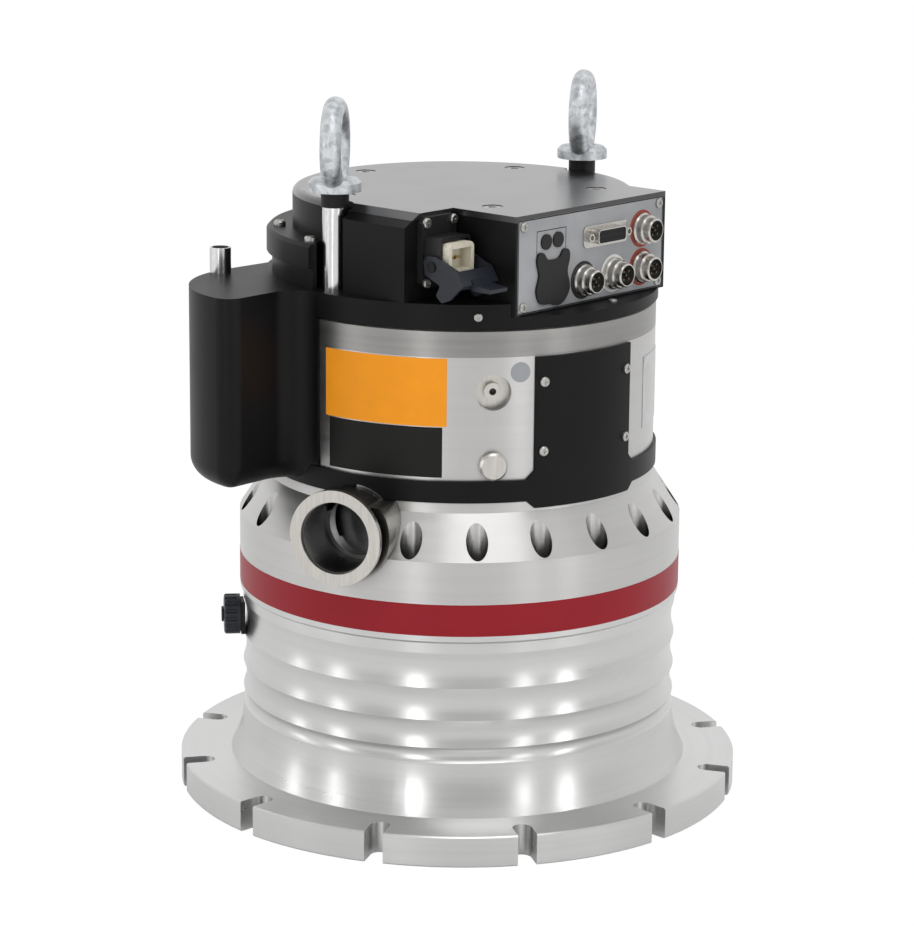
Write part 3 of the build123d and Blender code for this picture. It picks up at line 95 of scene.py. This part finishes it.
# SOFT_SHADE and DEEP_SHADE are painted shade: how far the base colour is darkened by ambient occlusion in
# recesses
SOFT_SHADE = ((0.06, 0.03), (0.22, 0.50), (0.80, 1.0))    # colour share over the openness of a place
DEEP_SHADE = ((0.34, 0.02), (0.80, 1.0))


# --- node helpers --------------------------------------------------------------------------------------
class Shader:
    """A node tree round one Principled shader."""

    def __init__(self, name, color, metallic=0.0, rough=0.5, **sockets):
        self.material = bpy.data.materials.new(name)
        self.material.use_nodes = True
        self.tree = self.material.node_tree
        self.tree.nodes.clear()
        self.out = self.tree.nodes.new("ShaderNodeOutputMaterial")
        self.main = self.tree.nodes.new("ShaderNodeBsdfPrincipled")
        self.tree.links.new(self.main.outputs[0], self.out.inputs[0])
        self.set("Base Color", (*color, 1.0))
        self.set("Metallic", metallic)
        self.set("Roughness", rough)
        for socket, value in sockets.items():
            self.set(socket.replace("_", " "), value)

    def set(self, socket, value):
        self.main.inputs[socket].default_value = value

    def node(self, kind, **values):
        made = self.tree.nodes.new(kind)
        for name, value in values.items():
            if hasattr(made, name):
                setattr(made, name, value)
            else:
                made.inputs[name.replace("_", " ")].default_value = value
        return made

    def link(self, out, into):
        self.tree.links.new(out, into)

    def math(self, operation, first, second=None):
        made = self.node("ShaderNodeMath", operation=operation)
        for slot, value in enumerate((first, second)):
            if value is None:
                continue
            if isinstance(value, (int, float)):
                made.inputs[slot].default_value = value
            else:
                self.link(value, made.inputs[slot])
        return made.outputs[0]

    def place(self):
        """Position in the object's frame."""
        return self.node("ShaderNodeTexCoord").outputs["Object"]

    def noise(self, vector, scale, detail=2.0, rough=0.5, distort=0.0):
        made = self.node("ShaderNodeTexNoise")
        made.inputs["Scale"].default_value = scale
        made.inputs["Detail"].default_value = detail
        made.inputs["Roughness"].default_value = rough
        made.inputs["Distortion"].default_value = distort
        self.link(vector, made.inputs["Vector"])
        return made.outputs["Fac"]

    def ramp(self, factor, *stops):
        """Colour ramp from (position, colour) stops; a colour may be one grey number."""
        made = self.node("ShaderNodeValToRGB")
        ramp = made.color_ramp
        while len(ramp.elements) < len(stops):
            ramp.elements.new(0.5)
        for element, (at, color) in zip(ramp.elements, stops):
            element.position = at
            grey = isinstance(color, (int, float))
            element.color = (color, color, color, 1.0) if grey else (*color, 1.0)
        self.link(factor, made.inputs["Fac"])
        return made.outputs["Color"]

    def bump(self, height, strength, distance):
        """Relief from a height, strength from 0 to 1 and distance in metres."""
        made = self.node("ShaderNodeBump")
        made.inputs["Strength"].default_value = strength
        made.inputs["Distance"].default_value = distance
        self.link(height, made.inputs["Height"])
        self.link(made.outputs["Normal"], self.main.inputs["Normal"])

    def shaded(self, color, reach, deep=False):
        """Base colour, with painted shade darkening it in the recesses (ambient occlusion) when a reach in
        metres is given.
        """
        if reach:
            dark = self.node("ShaderNodeAmbientOcclusion")
            dark.inputs["Distance"].default_value = reach
            level = self.ramp(dark.outputs["AO"], *(DEEP_SHADE if deep else SOFT_SHADE))
            mix = self.node("ShaderNodeMix", data_type="RGBA", blend_type="MULTIPLY")
            mix.inputs["Factor"].default_value = 1.0
            self.link(color, mix.inputs["A"])
            self.link(level, mix.inputs["B"])
            color = mix.outputs["Result"]
        self.link(color, self.main.inputs["Base Color"])

    def lathe_place(self):
        """(radius, height, a little of the angle): for marks that run round the axis."""
        split = self.node("ShaderNodeSeparateXYZ")
        self.link(self.place(), split.inputs[0])
        x, y, z = split.outputs
        radius = self.math("SQRT", self.math("ADD", self.math("MULTIPLY", x, x),
                                             self.math("MULTIPLY", y, y)))
        angle = self.math("ARCTAN2", y, x)
        joined = self.node("ShaderNodeCombineXYZ")
        self.link(radius, joined.inputs[0])
        self.link(z, joined.inputs[1])
        self.link(self.math("MULTIPLY", self.math("ABSOLUTE", angle), 0.002), joined.inputs[2])
        return joined.outputs[0]


def turned_metal(name, color, rough, mark=0.5, dull=0.0, shade=0.0):
    """Turned aluminium: fine rings, a vertical spread of the highlights and a few deeper marks.

    shade paints shade into the colour of the recesses, up to the given reach in metres.
    """
    shader = Shader(name, color, 1.0, rough, Anisotropic=0.6, Anisotropic_Rotation=0.25)
    tangent = shader.node("ShaderNodeTangent", direction_type="RADIAL", axis="Z")
    shader.link(tangent.outputs[0], shader.main.inputs["Tangent"])
    where = shader.lathe_place()
    fine = shader.noise(where, 2600.0, 2.0, 0.6)
    broad = shader.noise(where, 260.0, 3.0, 0.6)
    cloud = shader.noise(shader.place(), 14.0, 3.0, 0.6)
    tone = shader.math("ADD", shader.math("MULTIPLY", broad, 0.6), shader.math("MULTIPLY", cloud, 0.4))
    low = tuple(c * (0.90 - dull) for c in color)
    shader.shaded(shader.ramp(tone, (0.30, low), (0.70, color)), shade)
    shine = shader.math("ADD", shader.math("MULTIPLY", broad, 0.14), rough - 0.05)
    shader.link(shine, shader.main.inputs["Roughness"])
    mix = shader.math("ADD", shader.math("MULTIPLY", fine, 0.35), shader.math("MULTIPLY", broad, 0.65))
    shader.bump(mix, mark, 0.00008)
    return shader.material


def brushed_metal(name, color, rough, scale=(900.0, 900.0, 60.0), strength=0.25,
                  shade=0.0):
    """Brushed steel with fine scratches along one direction."""
    shader = Shader(name, color, 1.0, rough)
    mapping = shader.node("ShaderNodeMapping")
    mapping.inputs["Scale"].default_value = scale
    shader.link(shader.place(), mapping.inputs["Vector"])
    grain = shader.noise(mapping.outputs[0], 1.0, 3.0, 0.6)
    low = tuple(c * 0.82 for c in color)
    # painted shade: base colour darkened in the recesses when shade gives a reach
    shader.shaded(shader.ramp(grain, (0.3, low), (0.7, color)), shade, True)
    shader.link(shader.math("ADD", shader.math("MULTIPLY", grain, 0.16), rough - 0.08),
                shader.main.inputs["Roughness"])
    shader.bump(grain, strength, 0.00005)
    return shader.material


def powder_coat(name, color, rough, grain=1400.0, strength=0.35, shine=0.15, coat=0.0):
    """Satin powder coat with its fine orange peel; shine is its mirror level, coat a clear top layer."""
    shader = Shader(name, color, 0.0, rough, Specular_IOR_Level=shine, Coat_Weight=coat,
                    Coat_Roughness=rough)
    peel = shader.noise(shader.place(), grain, 2.0, 0.5)
    cloud = shader.noise(shader.place(), 22.0, 3.0, 0.6)
    high = tuple(c * 1.35 for c in color)
    shader.link(shader.ramp(cloud, (0.35, color), (0.75, high)), shader.main.inputs["Base Color"])
    shader.link(shader.math("ADD", shader.math("MULTIPLY", cloud, 0.10), rough - 0.05),
                shader.main.inputs["Roughness"])
    shader.bump(peel, strength, 0.00006)
    return shader.material


def plastic(name, color, rough, grain=900.0, strength=0.2, shine=0.25):
    """Moulded plastic with a faint grain."""
    shader = Shader(name, color, 0.0, rough, Specular_IOR_Level=shine)
    peel = shader.noise(shader.place(), grain, 2.0, 0.5)
    low = tuple(c * 0.85 for c in color)
    shader.link(shader.ramp(peel, (0.3, low), (0.7, color)), shader.main.inputs["Base Color"])
    shader.bump(peel, strength, 0.00005)
    return shader.material


def galvanised(name):
    """Hot-dip zinc: mottled grey with soft lumps."""
    shader = Shader(name, (0.62, 0.64, 0.66), 0.85, 0.42)
    lumps = shader.noise(shader.place(), 160.0, 4.0, 0.6, 0.4)
    cells = shader.node("ShaderNodeTexVoronoi")
    cells.inputs["Scale"].default_value = 260.0
    shader.link(shader.place(), cells.inputs["Vector"])
    tone = shader.math("ADD", shader.math("MULTIPLY", lumps, 0.75),
                       shader.math("MULTIPLY", cells.outputs["Color"], 0.25))
    shader.link(shader.ramp(tone, (0.35, (0.36, 0.38, 0.40)), (0.55, (0.60, 0.62, 0.64)),
                            (0.75, (0.80, 0.82, 0.84))), shader.main.inputs["Base Color"])
    shader.link(shader.ramp(lumps, (0.3, 0.28), (0.7, 0.58)), shader.main.inputs["Roughness"])
    shader.bump(lumps, 0.5, 0.0006)
    return shader.material


# --- materials by record slot --------------------------------------------------------------------------
def make_materials():
    """One procedural material for each slot of the record."""
    return {
        "turned_aluminium": turned_metal("turned_aluminium", (0.63, 0.63, 0.625), 0.28),
        "rotor_aluminium": turned_metal("rotor_aluminium", (0.76, 0.77, 0.78), 0.32, 0.3),
        "stainless": brushed_metal("stainless", (0.62, 0.60, 0.56), 0.30),
        "black_paint": powder_coat("black_paint", (0.0035, 0.0035, 0.004), 0.40),
        "screw_steel": brushed_metal("screw_steel", (0.50, 0.49, 0.47), 0.34),
        "galvanised": galvanised("galvanised"),
        "polished_steel": brushed_metal("polished_steel", (0.74, 0.74, 0.74), 0.20, (1200, 1200, 30)),
        "bearing_steel": brushed_metal("bearing_steel", (0.70, 0.70, 0.72), 0.15),
        "black_plastic": plastic("black_plastic", (0.006, 0.006, 0.0065), 0.5),
        "blue_grey_plastic": plastic("blue_grey_plastic", (0.012, 0.015, 0.022), 0.42, shine=0.4),
        "hood_paint": powder_coat("hood_paint", (0.012, 0.012, 0.013), 0.36, shine=0.3),
        "cream_plastic": plastic("cream_plastic", (0.70, 0.66, 0.54), 0.45),
        "panel_print": powder_coat("panel_print", (0.27, 0.275, 0.285), 0.40, 2200.0, 0.15),
        "nickel": brushed_metal("nickel", (0.62, 0.60, 0.565), 0.24),
        "contact_brass": brushed_metal("contact_brass", (0.80, 0.62, 0.28), 0.25),
        "magnet_black": brushed_metal("magnet_black", (0.22, 0.22, 0.23), 0.45),
        "motor_iron": brushed_metal("motor_iron", (0.36, 0.37, 0.39), 0.45, (60, 60, 2400)),
        "winding_copper": brushed_metal("winding_copper", (0.72, 0.36, 0.18), 0.35, (60, 60, 1800)),
        "elastomer": plastic("elastomer", (0.020, 0.020, 0.020), 0.75),
        "felt_white": plastic("felt_white", (0.72, 0.70, 0.64), 0.95, 1500.0, 0.6),
    }


def dress(materials):
    """Give each CAD node the material of its slot, except where one node needs its own."""
    own = {
        "base_cover": turned_metal("ring_aluminium", (0.34, 0.335, 0.325), 0.36, 0.8, 0.12),
        # painted shade: the housing wall's aluminium is a darker copy of the turned aluminium for the shade
        # on the wall, with painted shade in its recesses too
        "base_housing": turned_metal("wall_aluminium_shaded", (0.56, 0.555, 0.545), 0.30, shade=0.02),
        # painted shade: the port's base colour is darkened in its recesses
        "foreline_port": brushed_metal("port_steel", (0.62, 0.60, 0.56), 0.30, shade=0.05),
        "drive_lid": powder_coat("lid_paint", (0.005, 0.005, 0.005), 0.30, shine=0.5, coat=0.8),
        "panel_covers": plastic("cover_plastic", (0.012, 0.012, 0.012), 0.42),
    }
    for part in frame["record"]["subparts"]:
        piece = nodes[part["node"]]
        piece.data.materials.clear()
        piece.data.materials.append(own.get(part["node"], materials[part["material_slot"]]))


# --- added pieces ------------------------------------------------------------------------------------------
def new_piece(name, mesh_parts, material, body, smooth=True):
    """Object from (vertices, faces) lists, riding on a body."""
    mesh = bpy.data.meshes.new(name)
    verts, faces = [], []
    for part_verts, part_faces in mesh_parts:
        base = len(verts)
        verts += [tuple(v) for v in part_verts]
        faces += [[base + i for i in face] for face in part_faces]
    mesh.from_pydata(verts, [], faces)
    work = bmesh.new()
    work.from_mesh(mesh)
    bmesh.ops.recalc_face_normals(work, faces=work.faces)
    work.to_mesh(mesh)
    work.free()
    mesh.materials.append(material)
    piece = bpy.data.objects.new(name, mesh)
    bpy.context.scene.collection.objects.link(piece)
    if smooth:
        for polygon in mesh.polygons:
            polygon.use_smooth = True
        mesh.set_sharp_from_angle(angle=math.radians(35))
    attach(piece, body)


def slab(outline, place, thick):
    """Prism: outline points (u, v) go through place(u, v, depth), from depth 0 to thick."""
    count = len(outline)
    verts = [place(u, v, 0.0) for u, v in outline] + [place(u, v, thick) for u, v in outline]
    faces = [list(range(count)), list(range(2 * count - 1, count - 1, -1))]
    faces += [[i, (i + 1) % count, count + (i + 1) % count, count + i] for i in range(count)]
    return verts, faces


def wrap(radius, start, stop, low, high, thick, steps):
    """Sheet bent round the pump's axis between two azimuths and two heights."""
    verts, faces = [], []
    for i in range(steps + 1):
        angle = math.radians(start + (stop - start) * i / steps)
        for reach in (radius, radius + thick):
            for height in (low, high):
                verts.append((math.cos(angle) * reach * MM, math.sin(angle) * reach * MM, height * MM))
    for i in range(steps):
        a, b = 4 * i, 4 * (i + 1)
        faces += [[a, b, b + 1, a + 1], [a + 2, a + 3, b + 3, b + 2],
                  [a + 1, b + 1, b + 3, a + 3], [a, a + 2, b + 2, b]]
    if abs(stop - start) < 359.9:
        faces += [[0, 1, 3, 2], [4 * steps, 4 * steps + 2, 4 * steps + 3, 4 * steps + 1]]
    return verts, faces


def ring_points(radius, count, centre=(0.0, 0.0), start=0.0, sweep=360.0):
    """Points round a circle, in millimetres."""
    whole = abs(sweep) >= 359.9
    steps = count if whole else count - 1
    return [(centre[0] + radius * math.cos(math.radians(start + sweep * k / steps)),
             centre[1] + radius * math.sin(math.radians(start + sweep * k / steps)))
            for k in range(count)]


def annulus(inner, outer, centre, place, thick, start=0.0, sweep=360.0, count=48):
    """Flat ring or arc through place(u, v, depth)."""
    whole = abs(sweep) >= 359.9
    inside = ring_points(inner, count, centre, start, sweep)
    outside = ring_points(outer, count, centre, start, sweep)
    verts = [place(u, v, d) for d in (0.0, thick) for u, v in inside + outside]
    faces = []
    for k in range(count if whole else count - 1):
        n = (k + 1) % count
        lower = [k, n, count + n, count + k]
        upper = [2 * count + i for i in lower]
        faces += [lower, upper[::-1], [k, n, 2 * count + n, 2 * count + k],
                  [count + k, count + n, 3 * count + n, 3 * count + k]]
    if not whole:
        last = count - 1
        faces += [[0, count, 3 * count, 2 * count], [last, count + last, 3 * count + last, 2 * count + last]]
    return verts, faces


def on_panel(u, v, depth):
    """Point on the connector plate: u along +X and v along +Z in millimetres, depth outward."""
    return (u * MM, (-PANEL_FRONT - depth) * MM, v * MM)


def on_wall(azimuth, height, radius):
    """Placer on the housing's wall: u runs to the right seen from outside, v upward."""
    def place(u, v, depth):
        angle = math.radians(azimuth + math.degrees(u / radius))
        reach = (radius + depth) * MM
        return (math.cos(angle) * reach, math.sin(angle) * reach, (height + v) * MM)
    return place


def satin_foil(name, color, rough=0.35, metallic=0.0, shine=0.2):
    """Printed foil with a faint unevenness."""
    shader = Shader(name, color, metallic, rough, Specular_IOR_Level=shine)
    cloud = shader.noise(shader.place(), 60.0, 3.0, 0.6)
    low = tuple(c * 0.93 for c in color)
    shader.link(shader.ramp(cloud, (0.3, low), (0.7, color)), shader.main.inputs["Base Color"])
    shader.link(shader.math("ADD", shader.math("MULTIPLY", cloud, 0.12), rough - 0.06),
                shader.main.inputs["Roughness"])
    shader.bump(shader.noise(shader.place(), 220.0, 2.0, 0.5), 0.12, 0.0001)
    return shader.material


BODY_R = 131.3          # of the housing under the red band
WALL_R = 114.4          # of the housing's wall under the stickers
FOIL = 0.12             # thickness
LIFT = 0.02             # between a foil and the face under it
PANEL_FRONT = 97.5      # of the connector plate, along -Y
INSERT_FRONT = 7.5      # of the round sockets' inserts, from the plate
DSUB_FRONT = 5.4        # of the fifteen-way socket's insert, from the plate
DSUB_CENTRE = (12.1, 341.5)
DSUB_PITCH = 2.76
DSUB_ROWS = ((1.42, 8), (-1.42, 7))
PIN_CIRCLE = 3.2


def add_foils():
    """Red band and the blank stickers of the housing."""
    wall = WALL_R + LIFT
    new_piece("red_band", [wrap(BODY_R + LIFT, 0, 360, 124.2, 142.6, FOIL, 240)],
              satin_foil("red_foil", (0.27, 0.008, 0.016), 0.38), "pump")
    new_piece("orange_sticker", [wrap(wall, 179.8, 217.7, 241.3, 280.2, FOIL, 24)],
              satin_foil("orange_foil", (0.84, 0.30, 0.010), 0.45), "pump")
    new_piece("black_sticker", [wrap(wall, 181.2, 216.5, 212.0, 240.8, FOIL, 24)],
              satin_foil("black_foil", (0.006, 0.0055, 0.005), 0.40), "pump")
    new_piece("grey_sticker", [annulus(0.05, 5.75, (0, 0), on_wall(-121.5, 272.0, wall), FOIL)],
              satin_foil("grey_foil", (0.30, 0.31, 0.33), 0.45), "pump")
    outline = [(-19, -21), (19, -21), (19, 21), (-19, 21)]
    plate = slab(subdivided(outline, 8), on_wall(-62.0, 247.0, wall), 0.3)
    new_piece("type_plate", [plate], satin_foil("plate_foil", (0.60, 0.60, 0.60), 0.30, 1.0),
              "pump")


def subdivided(outline, times):
    """Outline with each side cut into equal pieces."""
    points = []
    for (u0, v0), (u1, v1) in zip(outline, outline[1:] + outline[:1]):
        points += [(u0 + (u1 - u0) * k / times, v0 + (v1 - v0) * k / times) for k in range(times)]
    return points


SOCKETS = ((-6.6, 317.3), (20.4, 317.7), (45.8, 318.2), (45.8, 340.6))
FRAME_LINE = (-63.25, 65.15, 304.6, 357.4)     # left, right, bottom and top of the printed border
FRAME_THICK = 0.7
BRACKET_LINES = [(-47.6, -47.1, 336.0, 349.4), (-22.6, -22.1, 336.0, 349.4), (-47.6, -22.1, 349.4, 349.9)]


def add_panel_print():
    """Rings and lines printed on the connector plate, without any lettering."""
    black = satin_foil("print_black", (0.02, 0.02, 0.02), 0.45)
    red = satin_foil("print_red", (0.30, 0.05, 0.03), 0.45)
    white = satin_foil("print_white", (0.75, 0.75, 0.73), 0.45)
    for k, ((x, z), ink) in enumerate(zip(SOCKETS, (black, white, red, red))):
        new_piece(f"socket_print_{k}", [annulus(9.3, 10.9, (x, z), on_panel, 0.04)], ink, "pump")
    left, right, low, high = FRAME_LINE
    bars = [(left, right, high - FRAME_THICK, high), (left, right, low, low + FRAME_THICK),
            (left, left + FRAME_THICK, low, high), (right - FRAME_THICK, right, low, high)]
    bars += BRACKET_LINES
    lines = [slab([(u0, v0), (u1, v0), (u1, v1), (u0, v1)], on_panel, 0.03) for u0, u1, v0, v1 in bars]
    new_piece("panel_lines", lines, black, "pump", smooth=False)


def on_dsub(u, v, depth):
    """Point on the insert of the fifteen-way socket."""
    return on_panel(u, v, DSUB_FRONT + LIFT + depth)


def add_contacts():
    """Pins of the round sockets, and dark discs painted as the shade in the holes of the fifteen-way socket.
    """
    pins = []
    for x, z in SOCKETS:
        for k in range(5):
            reach = 0.0 if k == 4 else PIN_CIRCLE
            angle = math.radians(45 + 90 * k)
            centre = (x + reach * math.cos(angle), z + reach * math.sin(angle))
            outline = ring_points(0.55, 10, centre)
            pins.append(slab(outline, lambda u, v, d: on_panel(u, v, INSERT_FRONT + d), 2.4))
    # painted shade: the pins' brass is a dark copy of the contact brass, for the shade deep inside the
    # sockets
    brass = brushed_metal("pin_brass_shaded", (0.20, 0.16, 0.10), 0.35)
    new_piece("socket_pins", pins, brass, "pump")
    holes = []
    for up, count in DSUB_ROWS:
        for k in range(count):
            centre = (DSUB_CENTRE[0] + (k - (count - 1) / 2) * DSUB_PITCH, DSUB_CENTRE[1] + up)
            # painted shade: near-black discs on the insert stand for the shade inside the socket's holes
            holes.append(annulus(0.02, 0.62, centre, on_dsub, 0.05, count=12))
    new_piece("socket_holes", holes, plastic("hole_shade_black", (0.002, 0.002, 0.002), 0.6), "pump")


# --- studio ------------------------------------------------------------------------------------------------
def softbox(name, azimuth, elevation, distance, size, power, target=(0.0, 0.0, 0.2)):
    """Area lamp at a bearing from the pump, aimed at it."""
    data = bpy.data.lights.new(name, "AREA")
    data.shape = "RECTANGLE"
    data.size, data.size_y = size
    data.energy = power
    lamp = bpy.data.objects.new(name, data)
    bpy.context.scene.collection.objects.link(lamp)
    azimuth, elevation = math.radians(azimuth), math.radians(elevation)
    offset = Vector((math.cos(azimuth) * math.cos(elevation), math.sin(azimuth) * math.cos(elevation),
                     math.sin(elevation))) * distance
    lamp.location = Vector(target) + offset
    lamp.rotation_euler = offset.to_track_quat("Z", "Y").to_euler()


def add_world(scene):
    """White background, and surroundings that are white behind the pump and grey on the camera's side."""
    world = bpy.data.worlds.new("studio")
    scene.world = world
    world.use_nodes = True
    tree = world.node_tree
    tree.nodes.clear()
    out = tree.nodes.new("ShaderNodeOutputWorld")
    mixed = tree.nodes.new("ShaderNodeMixShader")
    seen = tree.nodes.new("ShaderNodeBackground")
    around = tree.nodes.new("ShaderNodeBackground")
    where = tree.nodes.new("ShaderNodeTexCoord")
    dot = tree.nodes.new("ShaderNodeVectorMath")
    dot.operation = "DOT_PRODUCT"
    dot.inputs[1].default_value = (math.cos(HEADING), math.sin(HEADING), 0.25)
    spread = tree.nodes.new("ShaderNodeMapRange")
    spread.inputs["From Min"].default_value = -0.9
    spread.inputs["From Max"].default_value = 0.8
    spread.inputs["To Min"].default_value = AMBIENT_FRONT
    spread.inputs["To Max"].default_value = AMBIENT_BACK
    path = tree.nodes.new("ShaderNodeLightPath")
    tree.links.new(where.outputs["Generated"], dot.inputs[0])
    tree.links.new(dot.outputs["Value"], spread.inputs["Value"])
    tree.links.new(spread.outputs["Result"], around.inputs["Strength"])
    tree.links.new(path.outputs["Is Camera Ray"], mixed.inputs[0])
    tree.links.new(around.outputs[0], mixed.inputs[1])
    tree.links.new(seen.outputs[0], mixed.inputs[2])
    tree.links.new(mixed.outputs[0], out.inputs[0])
    for background in (seen, around):
        background.inputs["Color"].default_value = (1, 1, 1, 1)
    seen.inputs["Strength"].default_value = 1.0


def add_floor(scene):
    """Pale floor under the flange, nearly white to the camera, that keeps the pump's shadow."""
    mesh = bpy.data.meshes.new("floor")
    reach = FLOOR_REACH
    low = cad_box[0][2]
    mesh.from_pydata([(-reach, -reach, low), (reach, -reach, low), (reach, reach, low),
                      (-reach, reach, low)], [], [[0, 1, 2, 3]])
    floor = bpy.data.objects.new("floor", mesh)
    scene.collection.objects.link(floor)
    pale = bpy.data.materials.new("floor_white")
    pale.use_nodes = True
    tree = pale.node_tree
    shader = tree.nodes["Principled BSDF"]
    shader.inputs["Base Color"].default_value = (0.90, 0.90, 0.90, 1)
    shader.inputs["Roughness"].default_value = 0.9
    glow = tree.nodes.new("ShaderNodeEmission")
    glow.inputs["Color"].default_value = (1, 1, 1, 1)
    glow.inputs["Strength"].default_value = 1.03
    blend = tree.nodes.new("ShaderNodeMixShader")
    path = tree.nodes.new("ShaderNodeLightPath")
    share = tree.nodes.new("ShaderNodeMath")
    share.operation = "MULTIPLY"
    share.inputs[1].default_value = FLOOR_GLOW
    tree.links.new(path.outputs["Is Camera Ray"], share.inputs[0])
    tree.links.new(share.outputs[0], blend.inputs[0])
    tree.links.new(shader.outputs[0], blend.inputs[1])
    tree.links.new(glow.outputs[0], blend.inputs[2])
    tree.links.new(blend.outputs[0], tree.nodes["Material Output"].inputs[0])
    mesh.materials.append(pale)


def make_studio():
    """Surroundings, narrow softboxes whose streaks run down the metal, and a wide top light."""
    scene = bpy.context.scene
    scene.view_settings.view_transform = "Standard"
    add_world(scene)
    for name, azimuth, wide, power in STRIPS:
        softbox(name, azimuth, 6.0, LAMP_AWAY, (wide, STRIP_TALL), power)
    softbox("top", -120.0, 62.0, LAMP_AWAY, (1.6, 1.6), TOP_POWER)
    add_floor(scene)


def smooth_cad():
    """Smooth shading on the CAD meshes' curved faces."""
    for piece in nodes.values():
        for polygon in piece.data.polygons:
            polygon.use_smooth = True
        piece.data.set_sharp_from_angle(angle=math.radians(28))


make_camera()
make_studio()
smooth_cad()
dress(make_materials())
add_foils()
add_panel_print()
add_contacts()
